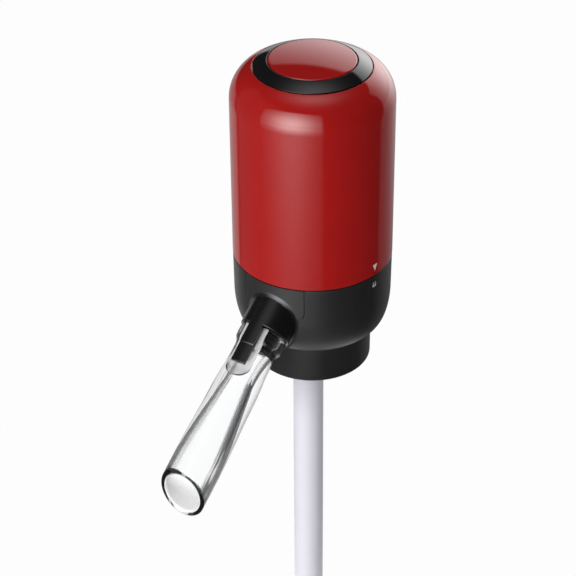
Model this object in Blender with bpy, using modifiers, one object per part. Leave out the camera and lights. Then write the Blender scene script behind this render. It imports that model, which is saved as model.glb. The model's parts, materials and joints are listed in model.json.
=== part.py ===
"""Electric wine aerator that plugs into the neck of a bottle.

Metres, +Z up, the spout points to -Y. The origin is the middle of the face that rests on the
bottle's rim. An air pump on the axis, with four AAA cells round it, blows air into the bottle, and
the wine comes up the straw, through the manifold and out of the clear spout. The red shell locks
on the black base with a twist, and carries the push button.
"""

import math

import bmesh
import bpy

# Clearances
GAP = 0.0003
RUNNING_GAP = 0.0004
OVERRUN = 0.002
MERGE = 0.000001

# Facets round each kind of piece
BODY_SIDES = 36
TOP_SIDES = 32
TUBE_SIDES = 20
CELL_SIDES = 12
SMALL_SIDES = 8
SCREW_SIDES = 8
WIRE_SIDES = 8
SECTOR_STEP = math.radians(9)
COIL_POINTS = 9
ROUTE_STEPS = 3
SHARP = math.radians(30)

# Driving dimensions: motor and AAA cells, which set the width of the body
MOTOR_RADIUS = 0.0120
MOTOR_WALL = 0.0009
CELL_RADIUS = 0.00525
CELL_LENGTH = 0.0445
CELL_NUB_RADIUS = 0.0019
CELL_NUB_HEIGHT = 0.0008
CELL_TO_MOTOR = 0.00075
CELL_TO_SHELL = 0.0007
CELL_COUNT = 4
CONTACT_HEIGHT = 0.0040

# Driving dimensions: outer shell
SHELL_WALL = 0.0018
SHOULDER_RADIUS = 0.01136
SHOULDER_SLOPE = math.radians(25)
SHOULDER_STEPS = 6
LUG_COUNT = 4
LUG_ANGLE = math.radians(35)
LUG_HALF_ANGLE = math.radians(4.5)
LUG_REACH = 0.0013
LUG_HEIGHT = 0.0014
TWIST = math.radians(20)

# Driving dimensions: base
BASE_HEIGHT = 0.0263
BASE_WALL = 0.0020
BASE_FLOOR = 0.0020
BASE_INSET = 0.00005
BASE_TAPER = 0.00015
BASE_ROUND_HEIGHT = 0.0135
BASE_ROUND_STEPS = 6
ROUND_OUT_SHARE = 0.66
ROUND_DOWN_SHARE = 1.03
NECK_WALL = 0.0020
NECK_SLOT_DEPTH = 0.00135
DECK_DROP = 0.0012

# Driving dimensions: bottle neck, collar and stopper
BOTTLE_NECK_RADIUS = 0.01475
BOTTLE_NECK_ROOM = 0.00125
COLLAR_WALL = 0.0032
COLLAR_DRAFT = 0.0001
COLLAR_DEPTH = 0.0123
COLLAR_STEP = 0.0005
COLLAR_EDGE = 0.0004
STOPPER_FLANGE = 0.0009
PLUG_RADIUS = 0.0089
PLUG_TIP_RADIUS = 0.0084
PLUG_DEPTH = 0.0165
FIN_COUNT = 3
FIN_REACH = 0.0010
FIN_HEIGHT = 0.0012
FIN_PITCH = 0.0042
FIRST_FIN_DEPTH = 0.0036

# Driving dimensions: straw and air way
STRAW_RADIUS = 0.00505
STRAW_WALL = 0.0010
STRAW_OFFSET = 0.0027
STRAW_REACH = 0.2400
STRAW_INSERT = 0.0058
AIR_WAY_RADIUS = 0.0011
VALVE_RADIUS = 0.0020
VALVE_WALL = 0.0005
VALVE_HEIGHT = 0.0040
WEB = 0.0016

# Driving dimensions: spout and its mount
SPOUT_DROOP = math.radians(33)
SPOUT_ROOT_HEIGHT = 0.01215
SLEEVE_RADIUS = 0.00832
SLEEVE_INSIDE = 0.0080
SLEEVE_OUTSIDE = 0.0044
SADDLE_REACH = 0.0014
SADDLE_HEIGHT = 0.0007
PANEL_HALF_WIDTH = 0.0109
PANEL_HEIGHT = 0.0109
WINE_WAY_RADIUS = 0.0023
SPIGOT_RADIUS = 0.0049
SPIGOT_LENGTH = 0.0061
SPOUT_RING_WIRE = 0.0005
SPOUT_RING_PLACES = (0.0014, 0.0040)
RING_SEAT_DEPTH = 0.0009
NIPPLE_WALL = 0.0009
NIPPLE_LENGTH = 0.0050
ARM_WALL = 0.0013
ARM_LENGTH = 0.0075
TONGUE_WIDTH = 0.0048
TONGUE_LENGTH = 0.0138
TONGUE_STEP_PLACE = 0.0071
TONGUE_STEP = 0.0007
TONGUE_THICKNESS = 0.00186
TONGUE_ROOM = 0.0013
TONGUE_END_ROOM = 0.0041
SPOUT_SEAL_WALL = 0.0006
SPOUT_LENGTH = 0.0570
SPOUT_SOCKET_RADIUS = 0.0055
SPOUT_TIP_TILT = math.radians(30)

# The clear spout's outside and bore: place along the spout from its upper end, and radius
SPOUT_OUTSIDE = (
    (0.0000, 0.00775), (0.0040, 0.00775), (0.0058, 0.00690), (0.0088, 0.00672), (0.0136, 0.00687),
    (0.0158, 0.00710), (0.0209, 0.00735), (0.0286, 0.00750), (0.0362, 0.00777), (0.0439, 0.00797),
)
SPOUT_BORE = (
    (0.0069, 0.00390), (0.0113, 0.00330), (0.0173, 0.00300), (0.0269, 0.00360), (0.0391, 0.00460),
    (0.0509, 0.00550),
)
SPOUT_TIP_BORE_RADIUS = 0.00600

# Driving dimensions: button, ring and switch
BUTTON_RADIUS = 0.0137
BUTTON_HEIGHT = 0.0045
BUTTON_DOME = 0.0011
BUTTON_EDGE = 0.0004
BUTTON_WALL = 0.0015
BUTTON_FLANGE = 0.0010
BUTTON_FLANGE_HEIGHT = 0.0012
BUTTON_TRAVEL = 0.0008
BUTTON_STEM_RADIUS = 0.0019
DOME_STEPS = 4
RING_WIDTH = 0.00432
RING_STEP = 0.0002
RING_RIM = 0.0012
RING_TUBE_WALL = 0.0009
RETAINER_HEIGHT = 0.0012
BUTTON_SPRING_RADIUS = 0.0042
BUTTON_SPRING_WIRE = 0.0003
BUTTON_SPRING_TURNS = 3
BOARD_RADIUS = 0.0110
BOARD_THICKNESS = 0.0012
SWITCH_WIDTH = 0.0060
SWITCH_HEIGHT = 0.0033
PLUNGER_RADIUS = 0.00175
PLUNGER_REACH = 0.0021
PLUNGER_LENGTH = 0.0038
SWITCH_TO_RETAINER = 0.0006

# Driving dimensions: chassis, contacts and screws
DECK_THICKNESS = 0.0020
UPPER_DECK_THICKNESS = 0.0018
UPPER_DECK_HOLE_RADIUS = 0.0070
DECK_TO_SHELL = 0.0015
COLUMN_TO_MOTOR = 0.0012
COLUMN_WEB = 0.0036
COLUMN_HALF_WIDTH = 0.0074
CHANNEL_HALF_WIDTH = 0.0042
PLATE_THICKNESS = 0.0004
PLATE_WIDTH = 0.0026
PLATE_TAB_WIDTH = 0.0050
CONTACT_BOSS_RADIUS = 0.0021
CONTACT_SPRING_RADIUS = 0.0028
CONTACT_SPRING_WIRE = 0.00025
CONTACT_SPRING_TURNS = 3
SCREW_SHANK_RADIUS = 0.0008
SCREW_HEAD_RADIUS = 0.0019
SCREW_HEAD_HEIGHT = 0.0012
SCREW_LENGTH = 0.0070
SCREW_HOLE_ROOM = 0.00035
SCREW_SLOT_WIDTH = 0.0005
SCREW_SLOT_DEPTH = 0.0005
BOSS_RADIUS = 0.0024
WIRE_RADIUS = 0.00045

# Driving dimensions: motor and pump
SHAFT_RADIUS = 0.0010
MAGNET_THICKNESS = 0.0021
MAGNET_SHARE = 0.72
ARMATURE_SHARE = 0.79
ARMATURE_SLOTS = 3
ARMATURE_SLOT_WIDTH = 0.0010
END_CAP_HEIGHT = 0.0024
END_BOSS_RADIUS = 0.0035
END_BOSS_HEIGHT = 0.0012
TERMINAL_HEIGHT = 0.0015
TERMINAL_WIDTH = 0.0020
TERMINAL_THICKNESS = 0.0004
TERMINAL_OFFSET = 0.0055
VALVE_PLATE_THICKNESS = 0.0012
DIAPHRAGM_THICKNESS = 0.0009
CUP_COUNT = 3
CUP_RADIUS = 0.0027
CUP_WALL = 0.0006
CUP_HEIGHT = 0.0034
CUP_PITCH_RADIUS = 0.0070
YOKE_THICKNESS = 0.0012
YOKE_ARM_WIDTH = 0.0030
YOKE_HUB_RADIUS = 0.0026
YOKE_HUB_HEIGHT = 0.0026
YOKE_TILT = math.radians(5)
PIN_RADIUS = 0.0008
HUB_RADIUS = 0.0048
HUB_HEIGHT = 0.0042
COVER_HEIGHT = 0.0036
COVER_RADIUS = 0.0106
COVER_WALL = 0.0012
NOZZLE_RADIUS = 0.0024
NOZZLE_BORE_RADIUS = 0.0010
NOZZLE_LENGTH = 0.0065
NOZZLE_RING_WIRE = 0.0005
NOZZLE_SEAT_DEPTH = 0.0011
NOZZLE_ROOM = 0.0004
BOSS_WALL = 0.0024
OUTLET_VALVE_RADIUS = 0.0030
OUTLET_VALVE_THICKNESS = 0.0006
OUTLET_STEM_RADIUS = 0.0008

# Widths that follow from the motor and the cells
cell_pitch_radius = MOTOR_RADIUS + CELL_TO_MOTOR + CELL_RADIUS
shell_bore_radius = cell_pitch_radius + CELL_RADIUS + CELL_TO_SHELL
body_radius = shell_bore_radius + SHELL_WALL
base_radius = body_radius - BASE_INSET
base_lower_radius = base_radius - BASE_TAPER
collar_bore_radius = BOTTLE_NECK_RADIUS + BOTTLE_NECK_ROOM
collar_radius = collar_bore_radius + COLLAR_WALL
base_foot_radius = collar_radius + COLLAR_STEP
neck_radius = shell_bore_radius - GAP
neck_bore_radius = neck_radius - NECK_WALL
deck_radius = neck_bore_radius - GAP
post_distance = deck_radius - BOSS_RADIUS
screw_bite_radius = SCREW_SHANK_RADIUS + GAP
screw_hole_radius = SCREW_SHANK_RADIUS + SCREW_HOLE_ROOM
column_radius = MOTOR_RADIUS + COLUMN_TO_MOTOR
web_radius = column_radius + COLUMN_WEB
ring_radius = BUTTON_RADIUS + GAP + RING_WIDTH

# Heights that follow from the base upwards
base_bottom_z = STOPPER_FLANGE + GAP
floor_top_z = base_bottom_z + BASE_FLOOR
seam_z = base_bottom_z + BASE_HEIGHT
base_top_z = seam_z - GAP
deck_z = seam_z - DECK_DROP
deck_top_z = deck_z + DECK_THICKNESS
cell_z = deck_top_z + CONTACT_HEIGHT
neck_top_z = cell_z - 2 * GAP
lug_z = (base_top_z + neck_top_z - LUG_HEIGHT) / 2
cell_top_z = cell_z + CELL_LENGTH
upper_deck_z = cell_top_z + CONTACT_HEIGHT
column_top_z = upper_deck_z - GAP
board_z = upper_deck_z + UPPER_DECK_THICKNESS + GAP
board_top_z = board_z + BOARD_THICKNESS
switch_z = board_top_z + GAP
switch_top_z = switch_z + SWITCH_HEIGHT
plunger_top_z = switch_top_z + PLUNGER_REACH
plunger_z = plunger_top_z - PLUNGER_LENGTH
retainer_z = switch_top_z + SWITCH_TO_RETAINER
retainer_top_z = retainer_z + RETAINER_HEIGHT
flange_z = retainer_top_z + BUTTON_TRAVEL + GAP
button_edge_z = flange_z + BUTTON_HEIGHT
ring_inner_z = button_edge_z - RING_STEP
ring_outer_z = ring_inner_z - RING_WIDTH * math.tan(SHOULDER_SLOPE)

# The shoulder is an arc that runs on into the straight slope of the ring
shoulder_turn = math.pi / 2 - SHOULDER_SLOPE
arc_end_radius = body_radius - SHOULDER_RADIUS * (1 - math.cos(shoulder_turn))
arc_end_z = ring_outer_z - (arc_end_radius - ring_radius) * math.tan(SHOULDER_SLOPE)
shoulder_z = arc_end_z - SHOULDER_RADIUS * math.sin(shoulder_turn)

# The spout's axis leaves the middle of the body and slopes down towards -Y
spout_root_z = base_bottom_z + SPOUT_ROOT_HEIGHT
spout_axis_z = spout_root_z + base_radius * math.tan(SPOUT_DROOP)
root_place = base_radius / math.cos(SPOUT_DROOP)
sleeve_end = root_place + SLEEVE_OUTSIDE
sleeve_start = root_place - SLEEVE_INSIDE
spigot_end = sleeve_end + SPIGOT_LENGTH
spout_start = sleeve_end + GAP
nipple_radius = WINE_WAY_RADIUS + NIPPLE_WALL
nipple_start = sleeve_start - NIPPLE_LENGTH
arm_radius = nipple_radius + GAP + ARM_WALL
arm_start = sleeve_start - GAP - ARM_LENGTH
link_place = (arm_start + nipple_start) / 2
panel_z = base_top_z - PANEL_HEIGHT

# The pump stands on the chassis and the motor on the pump, up to the level of the cells' tops
valve_plate_z = deck_top_z + GAP
diaphragm_z = valve_plate_z + VALVE_PLATE_THICKNESS + GAP
cup_top_z = diaphragm_z + DIAPHRAGM_THICKNESS + CUP_HEIGHT
yoke_swing = (CUP_PITCH_RADIUS + YOKE_ARM_WIDTH / 2) * math.sin(YOKE_TILT)
yoke_z = cup_top_z + GAP + yoke_swing + YOKE_THICKNESS / 2
hub_z = yoke_z + YOKE_HUB_HEIGHT / 2 + 2 * GAP + YOKE_HUB_RADIUS * math.sin(YOKE_TILT)
shaft_z = hub_z + HUB_HEIGHT / 2
pin_reach = shaft_z - 4 * GAP - yoke_z
pump_head_z = diaphragm_z + DIAPHRAGM_THICKNESS + GAP
pump_head_top_z = hub_z + HUB_HEIGHT + RUNNING_GAP + MOTOR_WALL
motor_z = pump_head_top_z + GAP
end_boss_z = cell_top_z - END_BOSS_HEIGHT
end_cap_z = end_boss_z - END_CAP_HEIGHT
motor_top_z = end_cap_z - GAP
cover_z = valve_plate_z - GAP - COVER_HEIGHT
nozzle_z = cover_z - NOZZLE_LENGTH

# The manifold stands on the base's floor, below the pump
manifold_z = floor_top_z + GAP
straw_top_z = floor_top_z + STRAW_INSERT
socket_top_z = straw_top_z + GAP
air_offset = STRAW_RADIUS + GAP + WEB + VALVE_RADIUS + GAP - STRAW_OFFSET
column_top = socket_top_z + 2 * WEB
manifold_radius = air_offset + VALVE_RADIUS + GAP + WEB
nozzle_bore = NOZZLE_RADIUS + NOZZLE_ROOM
boss_top_z = cover_z - GAP
valve_pocket_z = manifold_z + VALVE_HEIGHT + 2 * GAP
cup_angles = [math.pi / 2 + 2 * math.pi * i / CUP_COUNT for i in range(CUP_COUNT)]


def clear_scene():
    for item in list(bpy.data.objects):
        bpy.data.objects.remove(item, do_unlink=True)


def new_collection(name):
    group = bpy.data.collections.new(name)
    bpy.context.scene.collection.children.link(group)
    return group


def new_material(name, colour, roughness, metallic=0.0, transmission=0.0):
    material = bpy.data.materials.new(name)
    material.use_nodes = True
    shader = material.node_tree.nodes["Principled BSDF"]
    shader.inputs["Base Color"].default_value = (*colour, 1.0)
    shader.inputs["Roughness"].default_value = roughness
    shader.inputs["Metallic"].default_value = metallic
    shader.inputs["Transmission Weight"].default_value = transmission
    material.diffuse_color = (*colour, 1.0)
    return material


def new_empty(name, location, rotation=(0, 0, 0)):
    empty = bpy.data.objects.new(name, None)
    empty.location = location
    empty.rotation_euler = rotation
    empty.empty_display_size = GAP
    parts.objects.link(empty)
    return empty


def new_object(name, mesh, material, parent=None, cutter=False):
    """Links a mesh as a part, or as a cutter that no render shows."""
    item = bpy.data.objects.new(name, mesh)
    (cutters if cutter else parts).objects.link(item)
    item.parent = parent
    if cutter:
        item.hide_render = True
        item.display_type = "WIRE"
    else:
        mesh.materials.append(material)
    return item


def finished_mesh(name, shape):
    mesh = bpy.data.meshes.new(name)
    bmesh.ops.recalc_face_normals(shape, faces=shape.faces)
    shape.to_mesh(mesh)
    shape.free()
    mesh.shade_smooth()
    mesh.set_sharp_from_angle(angle=SHARP)
    return mesh


def turned(name, outline, sides, material=None, closed=True, parent=None, cutter=False):
    """A turned piece: (radius, height) points down its outer side and, where closed, up its bore."""
    mesh = bpy.data.meshes.new(name)
    corners = [(radius, 0, height) for radius, height in outline]
    edges = [(i, i + 1) for i in range(len(corners) - 1)]
    if closed:
        edges.append((len(corners) - 1, 0))
    mesh.from_pydata(corners, edges, [])
    item = new_object(name, mesh, material, parent, cutter)
    screw = item.modifiers.new("Turn", "SCREW")
    screw.axis = "Z"
    screw.steps = sides
    screw.render_steps = sides
    screw.use_merge_vertices = True
    screw.merge_threshold = MERGE
    screw.use_smooth_shade = True
    return item


def solid_turned(name, outline, sides, material=None, parent=None, cutter=False):
    """A turned piece with no bore: its outline starts and ends on the axis."""
    return turned(name, outline, sides, material, False, parent, cutter)


def tube_outline(outer, inner, low, high):
    return [(outer, high), (outer, low), (inner, low), (inner, high)]


def rod_outline(radius, low, high):
    return [(0, high), (radius, high), (radius, low), (0, low)]


def rod(name, radius, low, high, sides, material=None, parent=None, cutter=False):
    return solid_turned(name, rod_outline(radius, low, high), sides, material, parent, cutter)


def slanted_rod(name, radius, low, high, sides):
    """A cutter or tool along the spout's axis."""
    return rod(name, radius, low, high, sides, parent=spout_frame, cutter=True)


def tube(name, outer, inner, low, high, sides, material=None, parent=None, cutter=False):
    outline = tube_outline(outer, inner, low, high)
    return turned(name, outline, sides, material, True, parent, cutter)


def add_box(shape, low, high):
    """Adds a box between two corners to a bmesh."""
    corners = bmesh.ops.create_cube(shape, size=1)["verts"]
    for corner in corners:
        for axis in range(3):
            corner.co[axis] = low[axis] if corner.co[axis] < 0 else high[axis]
    return corners


def box(name, low, high, material=None, parent=None, cutter=False):
    shape = bmesh.new()
    add_box(shape, low, high)
    return new_object(name, finished_mesh(name, shape), material, parent, cutter)


def sectors(name, inner, outer, low, high, spans, material=None, cutter=False):
    """Pieces of a ring between angles, each swept from one flat face about Z."""
    shape = bmesh.new()
    for start, end in spans:
        steps = max(1, round((end - start) / SECTOR_STEP))
        section = [(inner, low), (outer, low), (outer, high), (inner, high)]
        points = [
            shape.verts.new((radius * math.cos(start), radius * math.sin(start), height))
            for radius, height in section
        ]
        face = shape.faces.new(points)
        swept = [face, *face.edges, *face.verts]
        bmesh.ops.spin(
            shape, geom=swept, cent=(0, 0, 0), axis=(0, 0, 1), angle=end - start, steps=steps
        )
    return new_object(name, finished_mesh(name, shape), material, None, cutter)


def boolean(piece, tool, operation):
    change = piece.modifiers.new(operation.title(), "BOOLEAN")
    change.operation = operation
    change.solver = "EXACT"
    change.object = tool
    return piece


def cut(piece, *tools):
    for tool in tools:
        boolean(piece, tool, "DIFFERENCE")
    return piece


def join(piece, *tools):
    for tool in tools:
        boolean(piece, tool, "UNION")
    return piece


def keep(piece, *tools):
    for tool in tools:
        boolean(piece, tool, "INTERSECT")
    return piece


def turn_about_z(item, angle, distance=0.0, height=0.0):
    """Places a piece at an angle round the body's axis."""
    item.location = (distance * math.cos(angle), distance * math.sin(angle), height)
    item.rotation_euler = (0, 0, angle)
    return item


def quarter_angles(first=0.0, count=CELL_COUNT):
    return [first + 2 * math.pi * i / count for i in range(count)]


def coil(name, radius, wire, low, high, turns, material):
    """A compression spring with flat ends, as one unbroken wire."""
    rise_turns = turns - 1
    count = turns * COIL_POINTS
    curve = bpy.data.curves.new(name, "CURVE")
    curve.dimensions = "3D"
    curve.bevel_depth = wire
    curve.bevel_resolution = 1
    curve.use_fill_caps = True
    spline = curve.splines.new("POLY")
    spline.points.add(count)
    height = high - low - 2 * wire
    least_pitch = 2 * wire + GAP
    for i, point in enumerate(spline.points):
        turn = i / COIL_POINTS
        climb = min(max(turn - 1 / 2, 0), rise_turns) / rise_turns
        lay = 2 * turn / turns - 1
        angle = 2 * math.pi * turn
        rise = low + wire + least_pitch * (1 + lay) / 2 + (height - least_pitch) * climb
        point.co = (radius * math.cos(angle), radius * math.sin(angle), rise, 1)
    item = bpy.data.objects.new(name, curve)
    parts.objects.link(item)
    curve.materials.append(material)
    return item


def smooth_route(points, steps):
    """Points read from a smooth curve through the route's own points."""
    ends = [points[0], *points, points[-1]]
    route = []
    for i in range(len(points) - 1):
        before, start, end, after = ends[i : i + 4]
        for step in range(steps):
            t = step / steps
            weights = (
                (2 - t) * t**2 - t,
                (3 * t - 5) * t**2 + 2,
                (4 - 3 * t) * t**2 + t,
                (t - 1) * t**2,
            )
            corners = (before, start, end, after)
            route.append([
                sum(weight * corner[axis] for weight, corner in zip(weights, corners)) / 2
                for axis in range(3)
            ])
    return [*route, points[-1]]


def wire(name, route, material):
    curve = bpy.data.curves.new(name, "CURVE")
    curve.dimensions = "3D"
    curve.bevel_depth = WIRE_RADIUS
    curve.bevel_resolution = 1
    curve.use_fill_caps = True
    spline = curve.splines.new("POLY")
    points = smooth_route(route, ROUTE_STEPS)
    spline.points.add(len(points) - 1)
    for point, place in zip(spline.points, points):
        point.co = (*place, 1)
    item = bpy.data.objects.new(name, curve)
    parts.objects.link(item)
    curve.materials.append(material)
    return item


def ring_seal(name, centre_radius, wire_radius, height, sides, parent=None):
    """An O-ring, turned from a small round section."""
    outline = round_corner(centre_radius, height, wire_radius, 0, -2 * math.pi, WIRE_SIDES)[:-1]
    return turned(name, outline, sides, black_rubber, True, parent)


def round_corner(centre_radius, centre_z, size, start, end, steps):
    """Points along an arc of an outline, from one angle to another."""
    return [
        (
            centre_radius + size * math.cos(start + (end - start) * i / steps),
            centre_z + size * math.sin(start + (end - start) * i / steps),
        )
        for i in range(steps + 1)
    ]


def make_base_housing():
    """Black cup with a rounded foot, a neck for the shell, posts for the chassis and a notch."""
    outline = [
        (0, floor_top_z), (base_foot_radius - BASE_WALL, floor_top_z),
        (base_lower_radius - BASE_WALL, base_bottom_z + BASE_ROUND_HEIGHT),
        (base_radius - BASE_WALL, deck_z - BASE_WALL), (neck_bore_radius, deck_z - GAP),
        (neck_bore_radius, neck_top_z), (neck_radius, neck_top_z), (neck_radius, base_top_z),
        (base_radius, base_top_z), *foot_rounding(), (0, base_bottom_z),
    ]
    housing = solid_turned("base_housing", outline, BODY_SIDES, black_plastic)
    post_top = deck_z - GAP
    for i, angle in enumerate(quarter_angles(math.pi / CELL_COUNT)):
        post = rod(f"post_{i}", BOSS_RADIUS, floor_top_z - GAP, post_top, SMALL_SIDES, cutter=True)
        join(housing, turn_about_z(post, angle, post_distance))
        low = deck_z - SCREW_LENGTH
        high = deck_z + OVERRUN
        hole = rod(f"post_hole_{i}", screw_bite_radius, low, high, SCREW_SIDES, cutter=True)
        cut(housing, turn_about_z(hole, angle, post_distance))
    high = manifold_z + OVERRUN
    straw_hole = rod("floor_straw_hole", STRAW_RADIUS + GAP, -OVERRUN, high, TUBE_SIDES, cutter=True)
    straw_hole.location = (0, -STRAW_OFFSET, 0)
    air_hole = rod("floor_air_hole", AIR_WAY_RADIUS, -OVERRUN, high, SMALL_SIDES, cutter=True)
    air_hole.location = (0, air_offset, 0)
    cut(housing, straw_hole, air_hole, panel_shape("notch", GAP, True))
    low = sleeve_start - OVERRUN
    radius = SLEEVE_RADIUS + GAP
    cut(housing, slanted_rod("sleeve_hole", radius, low, sleeve_end, TUBE_SIDES))
    return cut_lug_slots(housing)


def foot_rounding():
    """The foot curves in to the collar: a superellipse, flatter below than on its side."""
    rounding = []
    for i in range(BASE_ROUND_STEPS):
        turn = math.pi / 2 * i / BASE_ROUND_STEPS
        out = (base_lower_radius - base_foot_radius) * math.cos(turn) ** ROUND_OUT_SHARE
        down = BASE_ROUND_HEIGHT * math.sin(turn) ** ROUND_DOWN_SHARE
        rounding.append((base_foot_radius + out, base_bottom_z + BASE_ROUND_HEIGHT - down))
    return [*rounding, (base_foot_radius, base_bottom_z)]


def cut_lug_slots(housing):
    """Slots in the neck: each lug drops in at its entry and turns along its run."""
    slot_inner = neck_radius - NECK_SLOT_DEPTH
    slot_outer = neck_radius + OVERRUN
    margin = LUG_HALF_ANGLE + RUNNING_GAP / neck_radius
    locked = quarter_angles(LUG_ANGLE, LUG_COUNT)
    runs = [(a - margin, a + TWIST + margin) for a in locked]
    entries = [(a + TWIST - margin, a + TWIST + margin) for a in locked]
    low = lug_z - RUNNING_GAP
    high = lug_z + LUG_HEIGHT + RUNNING_GAP
    run = sectors("slot_run", slot_inner, slot_outer, low, high, runs, cutter=True)
    high = neck_top_z + OVERRUN
    entry = sectors("slot_entry", slot_inner, slot_outer, low, high, entries, cutter=True)
    return cut(housing, run, entry)


def panel_shape(name, grow, cutter):
    """The curved panel behind the spout: a piece of the base's wall between two upright edges."""
    inner = base_radius - BASE_WALL + (GAP - grow) / 2
    outer = base_radius + (OVERRUN if grow else 0)
    low = panel_z - grow
    high = base_top_z + (OVERRUN if grow else 0)
    half = PANEL_HALF_WIDTH + grow
    if grow:
        inner -= OVERRUN / 2
    ring = tube(f"{name}_ring", outer, inner, low, high, BODY_SIDES, black_plastic, cutter=cutter)
    corner = (-half, -base_radius - 2 * OVERRUN, low - OVERRUN)
    side = box(f"{name}_side", corner, (half, 0, high + OVERRUN), cutter=True)
    return keep(ring, side)


def make_spout_mount():
    """Panel, slanted sleeve with its tongue, and the spigot with two ring seats, in one moulding."""
    seats = []
    for place in reversed(SPOUT_RING_PLACES):
        middle = sleeve_end + place
        half = SPOUT_RING_WIRE + GAP
        seat_radius = SPIGOT_RADIUS - RING_SEAT_DEPTH
        seats += [(SPIGOT_RADIUS, middle + half), (seat_radius, middle + half)]
        seats += [(seat_radius, middle - half), (SPIGOT_RADIUS, middle - half)]
    outline = [
        (SPIGOT_RADIUS - GAP, spigot_end), (SPIGOT_RADIUS, spigot_end - GAP), *seats,
        (SPIGOT_RADIUS, sleeve_end), (SLEEVE_RADIUS - GAP, sleeve_end), (SLEEVE_RADIUS, sleeve_end - GAP),
        (SLEEVE_RADIUS, sleeve_start), (nipple_radius, sleeve_start), (nipple_radius, nipple_start),
        (WINE_WAY_RADIUS, nipple_start), (WINE_WAY_RADIUS, spigot_end),
    ]
    mount = turned("spout_mount", outline, TUBE_SIDES, black_plastic, parent=spout_frame)
    panel = panel_shape("panel", 0, True)
    outer = base_radius + SADDLE_HEIGHT
    inner = base_radius - BASE_WALL / 2
    saddle = tube("saddle", outer, inner, panel_z + GAP, base_top_z - GAP, BODY_SIDES, cutter=True)
    high = sleeve_end + OVERRUN
    radius = SLEEVE_RADIUS + SADDLE_REACH
    keep(saddle, slanted_rod("saddle_reach", radius, sleeve_start + OVERRUN, high, TUBE_SIDES))
    join(panel, saddle)
    radius = SLEEVE_RADIUS - GAP
    cut(panel, slanted_rod("sleeve_way", radius, sleeve_start - OVERRUN, high, TUBE_SIDES))
    join(mount, panel)
    tongue_end = sleeve_end + TONGUE_LENGTH
    tongue_low = SLEEVE_RADIUS - TONGUE_THICKNESS
    step_place = sleeve_end + TONGUE_STEP_PLACE
    thin_radius = SLEEVE_RADIUS - TONGUE_STEP
    tongue_outline = [
        (0, tongue_end), (thin_radius - GAP, tongue_end), (thin_radius, tongue_end - GAP),
        (thin_radius, step_place + GAP), (SLEEVE_RADIUS - GAP, step_place),
        (SLEEVE_RADIUS - GAP / 2, sleeve_end - OVERRUN / 2), (0, sleeve_end - OVERRUN / 2),
    ]
    tongue = solid_turned("tongue", tongue_outline, TUBE_SIDES, parent=spout_frame, cutter=True)
    half = TONGUE_WIDTH / 2
    low = (-half, tongue_low, sleeve_start)
    high = (half, SLEEVE_RADIUS + OVERRUN, tongue_end + OVERRUN)
    keep(tongue, box("tongue_strip", low, high, parent=spout_frame, cutter=True))
    return join(mount, tongue)


def make_clear_spout():
    """Thick clear tube with a flared bore, a pocket for the tongue and a slanted tip."""
    outside = [(radius, spout_start + place) for place, radius in SPOUT_OUTSIDE]
    bore = [(radius, spout_start + place) for place, radius in SPOUT_BORE]
    tip_radius = outside[-1][0]
    slant = tip_radius * math.tan(SPOUT_TIP_TILT)
    far_end = spout_start + SPOUT_LENGTH + slant + OVERRUN
    socket_end = spigot_end + GAP
    outline = [
        (tip_radius, far_end), *reversed(outside), (SPOUT_SOCKET_RADIUS, spout_start),
        (SPOUT_SOCKET_RADIUS, socket_end), *bore, (SPOUT_TIP_BORE_RADIUS, far_end),
    ]
    spout = turned("clear_spout", outline, TUBE_SIDES, clear_plastic, parent=spout_frame)
    pocket_low = SPOUT_SOCKET_RADIUS + SPOUT_SEAL_WALL
    half = TONGUE_WIDTH / 2 + TONGUE_ROOM
    round_place = sleeve_end + TONGUE_LENGTH + TONGUE_END_ROOM - half
    top = SLEEVE_RADIUS + OVERRUN
    low = (-half, pocket_low, sleeve_end - OVERRUN)
    high = (half, top, round_place)
    pocket = box("pocket", low, high, parent=spout_frame, cutter=True)
    pocket_end = rod("pocket_end", half, pocket_low, top, TUBE_SIDES, parent=spout_frame, cutter=True)
    pocket_end.rotation_euler = (-math.pi / 2, 0, 0)
    pocket_end.location = (0, 0, round_place)
    reach = 2 * tip_radius + far_end - spout_start
    tip_cut = box("tip_cut", (-reach, -reach, 0), (reach, reach, reach), parent=spout_frame, cutter=True)
    tip_cut.location = (0, 0, spout_start + SPOUT_LENGTH)
    tip_cut.rotation_euler = (-SPOUT_TIP_TILT, 0, 0)
    return cut(spout, pocket, pocket_end, tip_cut)


def make_collar():
    """Black ring that hangs round the bottle's neck."""
    top = base_bottom_z - GAP
    low = -COLLAR_DEPTH
    foot = collar_radius - COLLAR_DRAFT
    outline = [
        (collar_radius, top), (foot, low + COLLAR_EDGE), (foot - COLLAR_EDGE, low),
        (collar_bore_radius, low), (collar_bore_radius, top),
    ]
    return turned("bottle_collar", outline, BODY_SIDES, black_plastic)


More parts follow.
